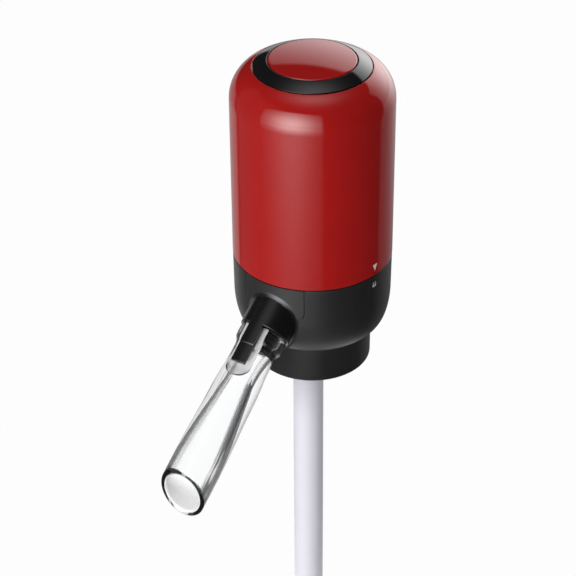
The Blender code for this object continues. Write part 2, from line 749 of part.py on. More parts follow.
def make_stopper():
    """Silicone flange and finned plug, with holes for the straw and for the air."""
    fins = []
    for i in range(FIN_COUNT):
        top = -FIRST_FIN_DEPTH - i * FIN_PITCH
        low = top - FIN_HEIGHT
        share = -low / PLUG_DEPTH
        radius = PLUG_RADIUS + (PLUG_TIP_RADIUS - PLUG_RADIUS) * share
        fins += [(radius, top), (radius + FIN_REACH, top - FIN_HEIGHT / 3), (radius, low)]
    flange_radius = collar_bore_radius - GAP
    outline = [
        (0, STOPPER_FLANGE), (flange_radius, STOPPER_FLANGE), (flange_radius, 0), (PLUG_RADIUS, 0),
        *fins, (PLUG_TIP_RADIUS, -PLUG_DEPTH), (0, -PLUG_DEPTH),
    ]
    stopper = solid_turned("bottle_stopper", outline, TUBE_SIDES, black_rubber)
    low = -PLUG_DEPTH - OVERRUN
    high = STOPPER_FLANGE + OVERRUN
    straw_way = rod("stopper_straw_way", STRAW_RADIUS + GAP, low, high, TUBE_SIDES, cutter=True)
    straw_way.location = (0, -STRAW_OFFSET, 0)
    air_way = rod("stopper_air_way", AIR_WAY_RADIUS, low, high, SMALL_SIDES, cutter=True)
    air_way.location = (0, air_offset, 0)
    return cut(stopper, straw_way, air_way)


def make_straw():
    """Long rigid straw that brings the wine up from the bottle."""
    outline = tube_outline(STRAW_RADIUS, STRAW_RADIUS - STRAW_WALL, -STRAW_REACH, straw_top_z)
    straw = turned("suction_straw", outline, TUBE_SIDES, white_plastic)
    straw.location = (0, -STRAW_OFFSET, 0)
    return straw


def rod_between(name, radius, start, end, sides):
    """A cutter or tool between two (y, z) places in the plane of the spout."""
    rise = end[1] - start[1]
    run = end[0] - start[0]
    item = rod(name, radius, 0, math.hypot(run, rise), sides, cutter=True)
    item.location = (0, start[0], start[1])
    item.rotation_euler = (math.atan2(-run, rise), 0, 0)
    return item


def spout_point(place):
    """(y, z) of a place along the spout's axis."""
    return -place * math.cos(SPOUT_DROOP), spout_axis_z - place * math.sin(SPOUT_DROOP)


def make_manifold():
    """Joins the straw to the spigot, and the pump's nozzle to the bottle."""
    manifold = rod("manifold", manifold_radius, manifold_z, column_top, TUBE_SIDES, grey_plastic)
    nozzle_floor_z = nozzle_z - NOZZLE_ROOM
    boss_radius = nozzle_bore + BOSS_WALL
    boss_outline = [
        (0, nozzle_floor_z), (nozzle_bore, nozzle_floor_z), (nozzle_bore, boss_top_z),
        (boss_radius, boss_top_z), (boss_radius, manifold_z + WEB), (0, manifold_z + WEB),
    ]
    boss = solid_turned("nozzle_boss", boss_outline, CELL_SIDES, cutter=True)
    wine_start = (-STRAW_OFFSET - GAP, socket_top_z - WEB)
    wine_end = spout_point(link_place + GAP)
    riser = rod_between("riser", WINE_WAY_RADIUS + WEB, wine_start, wine_end, CELL_SIDES)
    arm_end = sleeve_start - GAP
    join(manifold, boss, riser, slanted_rod("arm", arm_radius, arm_start, arm_end, TUBE_SIDES))
    low = manifold_z - OVERRUN
    socket = rod("straw_socket", STRAW_RADIUS + GAP, low, socket_top_z, TUBE_SIDES, cutter=True)
    socket.location = (0, -STRAW_OFFSET, 0)
    wine_way = rod_between("wine_way", WINE_WAY_RADIUS - GAP, wine_start, wine_end, SMALL_SIDES)
    bore_radius = nipple_radius + GAP
    bore_outline = [
        (0, arm_end + OVERRUN), (bore_radius, arm_end + OVERRUN), (bore_radius, nipple_start - GAP),
        (WINE_WAY_RADIUS, nipple_start - GAP), (WINE_WAY_RADIUS, link_place), (0, link_place),
    ]
    arm_bore = solid_turned("arm_bore", bore_outline, CELL_SIDES, parent=spout_frame, cutter=True)
    pocket = rod("valve_pocket", VALVE_RADIUS + GAP, low, valve_pocket_z, SMALL_SIDES, cutter=True)
    pocket.location = (0, air_offset, 0)
    air_start = (air_offset, valve_pocket_z - GAP)
    air_way = rod_between("air_way", AIR_WAY_RADIUS, air_start, (0, nozzle_floor_z + GAP), SMALL_SIDES)
    return cut(manifold, socket, wine_way, arm_bore, pocket, air_way)


def make_check_valve():
    """Small duckbill that lets air into the bottle and keeps wine out of the pump."""
    low = manifold_z + GAP
    high = low + VALVE_HEIGHT
    brim_z = low + 2 * VALVE_WALL
    neck = VALVE_RADIUS - VALVE_WALL
    inside = neck - VALVE_WALL
    outline = [
        (0, high), (VALVE_WALL, high), (neck, brim_z), (VALVE_RADIUS, brim_z), (VALVE_RADIUS, low),
        (inside, low), (inside, brim_z), (0, high - 2 * VALVE_WALL),
    ]
    valve = solid_turned("air_check_valve", outline, SMALL_SIDES, white_rubber)
    valve.location = (0, air_offset, 0)
    return valve


def make_chassis():
    """Lower deck with four channelled columns that cradle the cells."""
    hole = COVER_RADIUS + GAP
    chassis = tube("chassis", deck_radius, hole, deck_z, deck_top_z, BODY_SIDES, grey_plastic)
    above = column_top_z + OVERRUN
    for i, angle in enumerate(quarter_angles(math.pi / CELL_COUNT)):
        low = (column_radius, -COLUMN_HALF_WIDTH, deck_top_z - GAP)
        high = (deck_radius, COLUMN_HALF_WIDTH, column_top_z)
        column = turn_about_z(box(f"column_{i}", low, high, cutter=True), angle)
        low = (web_radius, -CHANNEL_HALF_WIDTH, deck_top_z)
        high = (deck_radius + OVERRUN, CHANNEL_HALF_WIDTH, above)
        channel = turn_about_z(box(f"channel_{i}", low, high, cutter=True), angle)
        limit = rod(f"column_limit_{i}", deck_radius - GAP, deck_z, above, BODY_SIDES, cutter=True)
        join(chassis, keep(cut(column, channel), limit))
    bore = CELL_RADIUS + GAP
    for i, angle in enumerate(quarter_angles()):
        cradle = rod(f"cradle_{i}", bore, deck_top_z + GAP, above, CELL_SIDES, cutter=True)
        cut(chassis, turn_about_z(cradle, angle, cell_pitch_radius))
    radius = screw_hole_radius
    for i, angle in enumerate(quarter_angles(math.pi / CELL_COUNT)):
        low = deck_z - OVERRUN
        lower = rod(f"deck_hole_{i}", radius, low, deck_top_z + OVERRUN, SCREW_SIDES, cutter=True)
        cut(chassis, turn_about_z(lower, angle, post_distance))
        low = column_top_z - SCREW_LENGTH
        upper = rod(f"column_hole_{i}", radius, low, above, SCREW_SIDES, cutter=True)
        cut(chassis, turn_about_z(upper, angle, (column_radius + web_radius) / 2))
    return cut(chassis, link_tunnel())


def link_tunnel():
    """The lower link plate runs from cell 2 to cell 3 through the foot of the column between."""
    inner = column_radius - OVERRUN
    outer = web_radius + OVERRUN / 2
    high = deck_top_z + PLATE_THICKNESS + 3 * GAP
    span = (math.pi / 2 + LUG_HALF_ANGLE, math.pi - LUG_HALF_ANGLE)
    return sectors("tunnel", inner, outer, deck_top_z, high, [span], cutter=True)


def screw_piece(name, angle, distance, seat_z, material):
    """Pan-head screw with a slot, its head on a seat."""
    low = seat_z - SCREW_LENGTH + 3 * GAP
    seat = seat_z + GAP
    head_top = seat + SCREW_HEAD_HEIGHT
    outline = [
        (0, head_top), (SCREW_HEAD_RADIUS - GAP, head_top), (SCREW_HEAD_RADIUS, head_top - GAP),
        (SCREW_HEAD_RADIUS, seat), (SCREW_SHANK_RADIUS, seat),
        (SCREW_SHANK_RADIUS, low + SCREW_SHANK_RADIUS), (0, low),
    ]
    screw = solid_turned(name, outline, SCREW_SIDES, material)
    turn_about_z(screw, angle, distance)
    reach = SCREW_HEAD_RADIUS + OVERRUN
    half = SCREW_SLOT_WIDTH / 2
    start = (-reach, -half, head_top - SCREW_SLOT_DEPTH)
    slot = box(f"{name}_slot", start, (reach, half, head_top + OVERRUN), cutter=True)
    return cut(screw, turn_about_z(slot, angle, distance))


def make_screws():
    upper_distance = (column_radius + web_radius) / 2
    upper_seat = upper_deck_z + UPPER_DECK_THICKNESS
    for i, angle in enumerate(quarter_angles(math.pi / CELL_COUNT), 1):
        screw_piece(f"chassis_screw_{i}", angle, post_distance, deck_top_z, steel)
        screw_piece(f"deck_screw_{i}", angle, upper_distance, upper_seat, steel)


def nub_up(index):
    """Neighbouring cells stand opposite ways up."""
    return index % 2 == 0


def make_cells():
    for i, angle in enumerate(quarter_angles()):
        shoulder = CELL_LENGTH - CELL_NUB_HEIGHT
        outline = [
            (0, CELL_LENGTH), (CELL_NUB_RADIUS, CELL_LENGTH), (CELL_NUB_RADIUS, shoulder),
            (CELL_RADIUS - GAP, shoulder), (CELL_RADIUS, shoulder - GAP), (CELL_RADIUS, GAP),
            (CELL_RADIUS - GAP, 0), (0, 0),
        ]
        cell = solid_turned(f"battery_{i + 1}", outline, CELL_SIDES, cell_metal)
        turn_about_z(cell, angle, cell_pitch_radius, cell_z)
        if not nub_up(i):
            cell.rotation_euler = (math.pi, 0, angle)
            cell.location.z = cell_top_z


def contact_plate(name, inner, low, first, last, bosses):
    """Link or tab at the cells' ends: an arc round the middle, with a tongue to each cell."""
    high = low + PLATE_THICKNESS
    half_turn = PLATE_TAB_WIDTH / 2 / inner
    span = (first * math.pi / 2 - half_turn, last * math.pi / 2 + half_turn)
    plate = sectors(name, inner, inner + PLATE_WIDTH, low, high, [span], brass)
    half = PLATE_TAB_WIDTH / 2
    for index in range(first, last + 1):
        corner = (cell_pitch_radius + half, half - GAP, high - GAP / 4)
        tab = box(f"{name}_tab_{index}", (inner + GAP, GAP - half, low + GAP / 4), corner, cutter=True)
        join(plate, turn_about_z(tab, index * math.pi / 2))
        if index in bosses:
            below = low < cell_z
            ends = (low + GAP / 2, cell_z - GAP) if below else (cell_top_z + GAP, high - GAP / 2)
            boss = rod(f"{name}_boss_{index}", CONTACT_BOSS_RADIUS, *ends, SMALL_SIDES, cutter=True)
            join(plate, turn_about_z(boss, index * math.pi / 2, cell_pitch_radius))
    return plate


def make_contacts():
    """Cells 1 to 4 are in series: nub against a raised boss, flat end against a spring."""
    lower = deck_top_z + GAP
    upper = upper_deck_z - GAP - PLATE_THICKNESS
    lower_inner = column_radius + GAP
    upper_inner = UPPER_DECK_HOLE_RADIUS + GAP
    contact_plate("bottom_link_plate", lower_inner, lower, 1, 2, (1,))
    contact_plate("bottom_negative_plate", lower_inner, lower, 0, 0, ())
    contact_plate("bottom_positive_plate", lower_inner, lower, 3, 3, (3,))
    contact_plate("top_link_plate_1", upper_inner, upper, 0, 1, (0,))
    contact_plate("top_link_plate_2", upper_inner, upper, 2, 3, (2,))
    for i, angle in enumerate(quarter_angles()):
        low = lower + PLATE_THICKNESS + GAP if nub_up(i) else cell_top_z + GAP
        high = cell_z - GAP if nub_up(i) else upper - GAP
        spring = coil(
            f"battery_spring_{i + 1}", CONTACT_SPRING_RADIUS, CONTACT_SPRING_WIRE, low, high,
            CONTACT_SPRING_TURNS, steel,
        )
        turn_about_z(spring, angle, cell_pitch_radius)


def make_contact_deck():
    """Upper deck that closes the cells' cradles and carries the switch board."""
    outer = shell_bore_radius - DECK_TO_SHELL
    high = upper_deck_z + UPPER_DECK_THICKNESS
    outline = tube_outline(outer, UPPER_DECK_HOLE_RADIUS, upper_deck_z, high)
    deck = turned("contact_deck", outline, BODY_SIDES, grey_plastic)
    for i, angle in enumerate(quarter_angles(math.pi / CELL_COUNT)):
        low = upper_deck_z - OVERRUN
        above = high + OVERRUN
        hole = rod(f"upper_hole_{i}", screw_hole_radius, low, above, SCREW_SIDES, cutter=True)
        cut(deck, turn_about_z(hole, angle, (column_radius + web_radius) / 2))
    return deck


def make_switch():
    """Round board with a square push switch and its plunger."""
    board = rod("switch_board", BOARD_RADIUS, board_z, board_top_z, TUBE_SIDES, board_green)
    half = SWITCH_WIDTH / 2
    switch = box("tact_switch", (-half, -half, switch_z), (half, half, switch_top_z), dark_plastic)
    low = plunger_z - BUTTON_TRAVEL - GAP
    high = switch_top_z + OVERRUN
    cut(switch, rod("plunger_bore", PLUNGER_RADIUS + GAP, low, high, SMALL_SIDES, cutter=True))
    plunger = rod("switch_plunger", PLUNGER_RADIUS, 0, PLUNGER_LENGTH, SMALL_SIDES, white_plastic)
    plunger.location = (0, 0, plunger_z)
    return board


def make_outer_shell():
    """Glossy red sleeve with a rounded shoulder, a seat for the ring and four lugs inside."""
    seat_z = ring_outer_z - RING_RIM
    opening = BUTTON_RADIUS + GAP + BUTTON_FLANGE + RING_TUBE_WALL + 2 * GAP
    lip_z = seat_z - SHELL_WALL
    seat_radius = ring_radius + GAP
    slope = math.tan(SHOULDER_SLOPE)
    edge_z = ring_outer_z - GAP * slope
    centre = body_radius - SHOULDER_RADIUS
    inner_radius = SHOULDER_RADIUS - SHELL_WALL
    inner_turn = math.asin((lip_z - shoulder_z) / inner_radius)
    inner_steps = SHOULDER_STEPS // 2
    arc = round_corner(centre, shoulder_z, SHOULDER_RADIUS, shoulder_turn, 0, SHOULDER_STEPS)
    inner_arc = round_corner(centre, shoulder_z, inner_radius, 0, inner_turn, inner_steps)
    outline = [
        (opening, seat_z), (seat_radius, seat_z), (seat_radius, edge_z), *arc, (body_radius, seam_z),
        (shell_bore_radius, seam_z), *inner_arc, (opening, lip_z),
    ]
    shell = turned("outer_shell", outline, BODY_SIDES, red_plastic)
    inner = neck_radius - LUG_REACH + GAP
    spans = [(a - LUG_HALF_ANGLE, a + LUG_HALF_ANGLE) for a in quarter_angles(LUG_ANGLE, LUG_COUNT)]
    outer = shell_bore_radius + SHELL_WALL / 2
    return join(shell, sectors("lugs", inner, outer, lug_z, lug_z + LUG_HEIGHT, spans, cutter=True))


def make_top_ring():
    """Gloss black ring that frames the button and guides it."""
    bore = BUTTON_RADIUS + GAP
    tube_bore = bore + BUTTON_FLANGE
    tube_radius = tube_bore + RING_TUBE_WALL
    lip_z = flange_z + BUTTON_FLANGE_HEIGHT + GAP
    rim_z = ring_outer_z - RING_RIM + GAP
    outline = [
        (bore, ring_inner_z), (bore + GAP, ring_inner_z + GAP / 2), (ring_radius, ring_outer_z),
        (ring_radius, rim_z), (tube_radius, rim_z), (tube_radius, retainer_z), (tube_bore, retainer_z),
        (tube_bore, lip_z), (bore, lip_z),
    ]
    return turned("top_ring", outline, TOP_SIDES, black_gloss)


def make_retainer():
    """Disc under the button that carries its spring."""
    outer = BUTTON_RADIUS + BUTTON_FLANGE
    outline = tube_outline(outer, BUTTON_STEM_RADIUS + 2 * GAP, retainer_z, retainer_top_z)
    return turned("button_retainer", outline, TUBE_SIDES, black_plastic)


def make_button():
    """Domed cap with a skirt, a stop flange and a stem over the switch."""
    bore = BUTTON_RADIUS - BUTTON_WALL
    edge = BUTTON_HEIGHT
    dome_radius = BUTTON_RADIUS - BUTTON_EDGE
    shares = [i / DOME_STEPS for i in range(DOME_STEPS + 1)]
    top = [(dome_radius * share, edge + BUTTON_DOME * (1 - share**2)) for share in shares]
    ceiling = edge - BUTTON_WALL
    stem_low = plunger_top_z + GAP - flange_z
    flange_radius = BUTTON_RADIUS + BUTTON_FLANGE
    outline = [
        *top, (BUTTON_RADIUS, edge - BUTTON_EDGE), (BUTTON_RADIUS, BUTTON_FLANGE_HEIGHT),
        (flange_radius, BUTTON_FLANGE_HEIGHT), (flange_radius, 0), (bore, 0), (bore, ceiling),
        (BUTTON_STEM_RADIUS, ceiling), (BUTTON_STEM_RADIUS, stem_low), (0, stem_low),
    ]
    button = solid_turned("button_cap", outline, TOP_SIDES, red_plastic)
    button.location = (0, 0, flange_z)
    low = retainer_top_z + GAP
    high = flange_z + ceiling - GAP
    radius = BUTTON_SPRING_RADIUS
    coil("button_spring", radius, BUTTON_SPRING_WIRE, low, high, BUTTON_SPRING_TURNS, steel)
    return button


def make_motor():
    """Can, magnet ring and end cap stay still; the shaft and armature turn."""
    bore = MOTOR_RADIUS - MOTOR_WALL
    shaft_way = SHAFT_RADIUS + RUNNING_GAP
    outline = [
        (MOTOR_RADIUS, motor_top_z), (MOTOR_RADIUS, motor_z), (shaft_way, motor_z),
        (shaft_way, motor_z + MOTOR_WALL), (bore, motor_z + MOTOR_WALL), (bore, motor_top_z),
    ]
    turned("motor_can", outline, TUBE_SIDES, steel)
    cap_top = end_boss_z
    boss_top = cell_top_z
    spigot_z = end_cap_z - 4 * GAP
    outline = [
        (END_BOSS_RADIUS, boss_top), (END_BOSS_RADIUS, cap_top), (MOTOR_RADIUS, cap_top),
        (MOTOR_RADIUS, end_cap_z), (bore - GAP, end_cap_z), (bore - GAP, spigot_z),
        (shaft_way, spigot_z), (shaft_way, boss_top),
    ]
    cap = turned("motor_end_cap", outline, TUBE_SIDES, white_plastic)
    half = TERMINAL_WIDTH / 2
    for side in (-1, 1):
        x = side * TERMINAL_OFFSET
        low = (x - TERMINAL_THICKNESS / 2, -half, cap_top - GAP)
        high = (x + TERMINAL_THICKNESS / 2, half, cap_top + TERMINAL_HEIGHT)
        join(cap, box(f"terminal_{side}", low, high, cutter=True))
    magnet_outer = bore - GAP
    magnet_inner = magnet_outer - MAGNET_THICKNESS
    low = motor_z + 2 * MOTOR_WALL
    magnet_length = (spigot_z - low) * MAGNET_SHARE
    outline = tube_outline(magnet_outer, magnet_inner, low, low + magnet_length)
    turned("magnet_ring", outline, TUBE_SIDES, dark_plastic)
    armature_radius = magnet_inner - RUNNING_GAP
    low += magnet_length * (1 - ARMATURE_SHARE) / 2
    high = low + magnet_length * ARMATURE_SHARE
    armature = tube("armature", armature_radius, SHAFT_RADIUS + GAP, low, high, CELL_SIDES, copper)
    half = ARMATURE_SLOT_WIDTH / 2
    for i, angle in enumerate(quarter_angles(0, ARMATURE_SLOTS)):
        start = (armature_radius / 2, -half, low - OVERRUN)
        end = (armature_radius + OVERRUN, half, high + OVERRUN)
        cut(armature, turn_about_z(box(f"armature_slot_{i}", start, end, cutter=True), angle))
    rod("motor_shaft", SHAFT_RADIUS, shaft_z + GAP, boss_top - GAP, SMALL_SIDES, steel)


def make_pump():
    """Three-cup diaphragm pump: hub and slanted pin turn, the yoke nods, the cups pump."""
    bore = MOTOR_RADIUS - MOTOR_WALL
    shaft_way = SHAFT_RADIUS + RUNNING_GAP
    ceiling = pump_head_top_z - MOTOR_WALL
    outline = [
        (MOTOR_RADIUS, pump_head_top_z), (MOTOR_RADIUS, pump_head_z), (bore, pump_head_z),
        (bore, ceiling), (shaft_way, ceiling), (shaft_way, pump_head_top_z),
    ]
    turned("pump_head", outline, TUBE_SIDES, dark_plastic)
    make_pump_rotor()
    make_yoke()
    make_diaphragm()
    plate_top = valve_plate_z + VALVE_PLATE_THICKNESS
    plate = rod("valve_plate", MOTOR_RADIUS, valve_plate_z, plate_top, TUBE_SIDES, white_plastic)
    low = valve_plate_z - OVERRUN
    high = plate_top + OVERRUN
    cut(plate, rod("valve_stem_hole", OUTLET_STEM_RADIUS + GAP, low, high, SCREW_SIDES, cutter=True))
    for i, angle in enumerate(cup_angles):
        hole = rod(f"plate_hole_{i}", OUTLET_STEM_RADIUS, low, high, SCREW_SIDES, cutter=True)
        cut(plate, turn_about_z(hole, angle, CUP_PITCH_RADIUS))
    cap_top = valve_plate_z - GAP
    cap_low = cap_top - OUTLET_VALVE_THICKNESS
    outline = [
        (0, plate_top - GAP), (OUTLET_STEM_RADIUS, plate_top - GAP), (OUTLET_STEM_RADIUS, cap_top),
        (OUTLET_VALVE_RADIUS, cap_top), (OUTLET_VALVE_RADIUS - GAP, cap_low), (0, cap_low),
    ]
    solid_turned("outlet_valve", outline, SMALL_SIDES, white_rubber)
    make_pump_cover()


def make_pump_rotor():
    """Hub on the motor's shaft, with the slanted pin in its lower face."""
    high = hub_z + HUB_HEIGHT
    bore = SHAFT_RADIUS + GAP
    outline = [
        (0, shaft_z), (bore, shaft_z), (bore, high), (HUB_RADIUS, high), (HUB_RADIUS, hub_z), (0, hub_z),
    ]
    hub = solid_turned("eccentric_hub", outline, CELL_SIDES, brass)
    radius = PIN_RADIUS + GAP
    pin_hole = rod("pin_hole", radius, 0, pin_reach + GAP, SMALL_SIDES, parent=yoke_frame, cutter=True)
    cut(hub, pin_hole)
    rod("yoke_pin", PIN_RADIUS, -YOKE_HUB_HEIGHT / 2, pin_reach, SMALL_SIDES, steel, yoke_frame)


def make_yoke():
    """Three arms that nod round on the slanted pin and work the cups."""
    half = YOKE_HUB_HEIGHT / 2
    yoke = rod("pump_yoke", YOKE_HUB_RADIUS, -half, half, CELL_SIDES, white_plastic, yoke_frame)
    half_width = YOKE_ARM_WIDTH / 2
    low = (0, -half_width, -YOKE_THICKNESS / 2)
    high = (CUP_PITCH_RADIUS + half_width, half_width, YOKE_THICKNESS / 2)
    for i, angle in enumerate(cup_angles):
        join(yoke, turn_about_z(box(f"yoke_arm_{i}", low, high, None, yoke_frame, True), angle))
    radius = PIN_RADIUS + RUNNING_GAP
    reach = half + OVERRUN
    return cut(yoke, rod("yoke_bore", radius, -reach, reach, SMALL_SIDES, None, yoke_frame, True))


def make_diaphragm():
    """Rubber sheet with three cups, open below."""
    top = diaphragm_z + DIAPHRAGM_THICKNESS
    sheet = rod("diaphragm", MOTOR_RADIUS, diaphragm_z, top, TUBE_SIDES, black_rubber)
    for i, angle in enumerate(cup_angles):
        cup = rod(f"cup_{i}", CUP_RADIUS, diaphragm_z + GAP, cup_top_z, SMALL_SIDES, cutter=True)
        join(sheet, turn_about_z(cup, angle, CUP_PITCH_RADIUS))
    radius = CUP_RADIUS - CUP_WALL
    low = diaphragm_z - OVERRUN
    for i, angle in enumerate(cup_angles):
        inside = rod(f"cup_inside_{i}", radius, low, cup_top_z - CUP_WALL, SMALL_SIDES, cutter=True)
        cut(sheet, turn_about_z(inside, angle, CUP_PITCH_RADIUS))
    return sheet


def make_pump_cover():
    """Cup under the valve plate, with the air nozzle and its ring seat."""
    top = valve_plate_z - GAP
    seat_middle = nozzle_z + NOZZLE_LENGTH / 2
    half = NOZZLE_RING_WIRE + GAP
    seat_radius = NOZZLE_RADIUS - NOZZLE_SEAT_DEPTH
    outline = [
        (COVER_RADIUS, top), (COVER_RADIUS, cover_z), (NOZZLE_RADIUS, cover_z),
        (NOZZLE_RADIUS, seat_middle + half), (seat_radius, seat_middle + half),
        (seat_radius, seat_middle - half), (NOZZLE_RADIUS, seat_middle - half), (NOZZLE_RADIUS, nozzle_z),
        (NOZZLE_BORE_RADIUS, nozzle_z), (NOZZLE_BORE_RADIUS, cover_z + COVER_WALL),
        (COVER_RADIUS - COVER_WALL, cover_z + COVER_WALL), (COVER_RADIUS - COVER_WALL, top),
    ]
    turned("pump_cover", outline, TUBE_SIDES, dark_plastic)
    centre = seat_radius + GAP + NOZZLE_RING_WIRE
    ring_seal("nozzle_oring", centre, NOZZLE_RING_WIRE, seat_middle, CELL_SIDES)


def make_spout_rings():
    centre = SPIGOT_RADIUS - RING_SEAT_DEPTH + GAP + SPOUT_RING_WIRE
    for i, place in enumerate(SPOUT_RING_PLACES, 1):
        height = sleeve_end + place
        ring_seal(f"spout_oring_{i}", centre, SPOUT_RING_WIRE, height, TUBE_SIDES, spout_frame)


def make_wires():
    """Motor leads up to the board, and battery leads up two of the columns' channels."""
    low = end_boss_z + TERMINAL_HEIGHT + WIRE_RADIUS
    high = board_z - GAP
    rise = high - low
    for name, sign, material in (("motor_lead_red", 1, red_wire), ("motor_lead_black", -1, black_rubber)):
        start = sign * TERMINAL_OFFSET
        end = sign * UPPER_DECK_HOLE_RADIUS / 2
        route = [
            (start, 0, low), ((start + end) / 2, WIRE_RADIUS, low + rise / 3),
            (end, 0, high - rise / 3), (end, 0, high),
        ]
        wire(name, route, material)
    channel = web_radius + WIRE_RADIUS + GAP
    offset = CHANNEL_HALF_WIDTH - WIRE_RADIUS - GAP
    low = deck_top_z + GAP
    high = upper_deck_z - GAP
    for name, index, material in (("battery_lead_red", 3, red_wire), ("battery_lead_black", 0, black_rubber)):
        angle = math.pi / CELL_COUNT + index * math.pi / 2
        places = [(channel, -offset, low), (channel, -offset, (low + high) / 2), (channel, -offset, high)]
        route = [
            (x * math.cos(angle) - y * math.sin(angle), x * math.sin(angle) + y * math.cos(angle), z)
            for x, y, z in places
        ]
        wire(name, route, material)


clear_scene()
parts = new_collection("wine_aerator")
cutters = new_collection("cutters")

red_plastic = new_material("red_plastic", (0.45, 0.018, 0.018), 0.18)
black_gloss = new_material("black_gloss", (0.010, 0.010, 0.011), 0.12)
black_plastic = new_material("black_plastic", (0.021, 0.020, 0.020), 0.30)
dark_plastic = new_material("dark_plastic", (0.030, 0.030, 0.033), 0.45)
grey_plastic = new_material("grey_plastic", (0.180, 0.180, 0.185), 0.50)
white_plastic = new_material("white_plastic", (0.800, 0.790, 0.860), 0.35)
clear_plastic = new_material("clear_plastic", (0.960, 0.970, 0.970), 0.03, transmission=1.0)
black_rubber = new_material("black_rubber", (0.018, 0.018, 0.018), 0.60)
white_rubber = new_material("white_rubber", (0.700, 0.700, 0.690), 0.55)
steel = new_material("steel", (0.580, 0.580, 0.590), 0.28, metallic=1.0)
brass = new_material("brass", (0.650, 0.480, 0.200), 0.30, metallic=1.0)
copper = new_material("copper", (0.600, 0.280, 0.150), 0.35, metallic=1.0)
cell_metal = new_material("cell_metal", (0.120, 0.150, 0.200), 0.35, metallic=0.6)
board_green = new_material("board_green", (0.020, 0.130, 0.060), 0.45)
red_wire = new_material("red_wire", (0.450, 0.020, 0.020), 0.50)

spout_frame = new_empty("spout_frame", (0, 0, spout_axis_z), (math.pi / 2 + SPOUT_DROOP, 0, 0))
yoke_frame = new_empty("yoke_frame", (0, 0, yoke_z), (-YOKE_TILT, 0, 0))

make_base_housing()
make_collar()
make_stopper()
make_straw()
make_manifold()
make_check_valve()
make_spout_mount()
make_spout_rings()
make_clear_spout()
make_chassis()
make_cells()
make_contacts()
make_contact_deck()
make_screws()
make_switch()
make_motor()
make_pump()
make_wires()
make_outer_shell()
make_top_ring()
make_retainer()
make_button()
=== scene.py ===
"""Looks of the electric wine aerator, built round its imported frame. Metres, +Z up, spout to -Y."""

import json
import math

import bmesh
import bpy
from mathutils import Matrix, Vector

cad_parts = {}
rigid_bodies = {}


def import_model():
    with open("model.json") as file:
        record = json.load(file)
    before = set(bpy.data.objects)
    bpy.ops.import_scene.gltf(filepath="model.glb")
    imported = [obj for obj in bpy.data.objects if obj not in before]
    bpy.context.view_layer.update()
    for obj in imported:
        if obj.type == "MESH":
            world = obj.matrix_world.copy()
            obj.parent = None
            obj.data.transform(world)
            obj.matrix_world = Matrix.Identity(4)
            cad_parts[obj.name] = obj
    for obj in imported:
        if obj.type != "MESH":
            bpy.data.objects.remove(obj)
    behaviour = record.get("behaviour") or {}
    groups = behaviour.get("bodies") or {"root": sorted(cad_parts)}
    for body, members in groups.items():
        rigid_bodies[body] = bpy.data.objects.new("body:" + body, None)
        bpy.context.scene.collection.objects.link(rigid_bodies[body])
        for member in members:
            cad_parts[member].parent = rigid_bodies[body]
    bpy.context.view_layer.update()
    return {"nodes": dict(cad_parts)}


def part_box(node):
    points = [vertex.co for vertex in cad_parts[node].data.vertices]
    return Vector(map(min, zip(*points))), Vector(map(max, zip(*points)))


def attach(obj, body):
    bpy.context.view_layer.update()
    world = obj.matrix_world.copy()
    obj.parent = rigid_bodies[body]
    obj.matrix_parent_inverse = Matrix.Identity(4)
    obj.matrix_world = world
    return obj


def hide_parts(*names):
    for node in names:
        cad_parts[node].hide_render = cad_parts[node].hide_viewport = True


for item in list(bpy.data.objects):
    bpy.data.objects.remove(item, do_unlink=True)

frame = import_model()

# Facets
BODY_SIDES = 160
TUBE_SIDES = 96
SMALL_SIDES = 32
CORNER_STEPS = 4
CORNER_SHARE = 0.49
SECTOR_STEPS = 8
SHARP = math.radians(40)

# Clearances
GAP = 0.0003
RUNNING_GAP = 0.0004
OVERRUN = 0.002
SINK = 0.0002
ON_AXIS = 0.000002

# Shell and base
SHELL_BORE = 0.02395
BODY_RADIUS = 0.02575
SHELL_WALL = 0.0018
SHOULDER_RADIUS = 0.01136
SHOULDER_Z = 0.0821838
SHOULDER_SLOPE = math.radians(25)
SEAM_Z = 0.0275
BASE_RADIUS = 0.02570
BASE_LOWER_RADIUS = 0.02555
BASE_FOOT_RADIUS = 0.0189
BASE_LOW_Z = 0.0012
BASE_TOP_Z = 0.0272
BASE_ROUND_HEIGHT = 0.0135
ROUND_OUT_SHARE = 0.66
ROUND_DOWN_SHARE = 1.03
ROUND_STEPS = 24
BASE_WALL = 0.0020
FLOOR_TOP_Z = 0.0032
DECK_Z = 0.0263
NECK_RADIUS = 0.02365
NECK_BORE = 0.02165
NECK_TOP_Z = 0.0317
EDGE = 0.00025
SEAM_EDGE = 0.00018

# Lugs and the chassis' posts
LUG_COUNT = 4
LUG_ANGLE = math.radians(35)
LUG_HALF_ANGLE = math.radians(4.5)
LUG_INNER = 0.02265
LUG_LOW_Z = 0.02875
LUG_HEIGHT = 0.0014
LUG_SLOT_RADIUS = 0.02230
TWIST = math.radians(20)
POST_RADIUS = 0.0024
POST_DISTANCE = 0.01895
POST_HOLE = 0.0011
POST_HOLE_Z = 0.0193

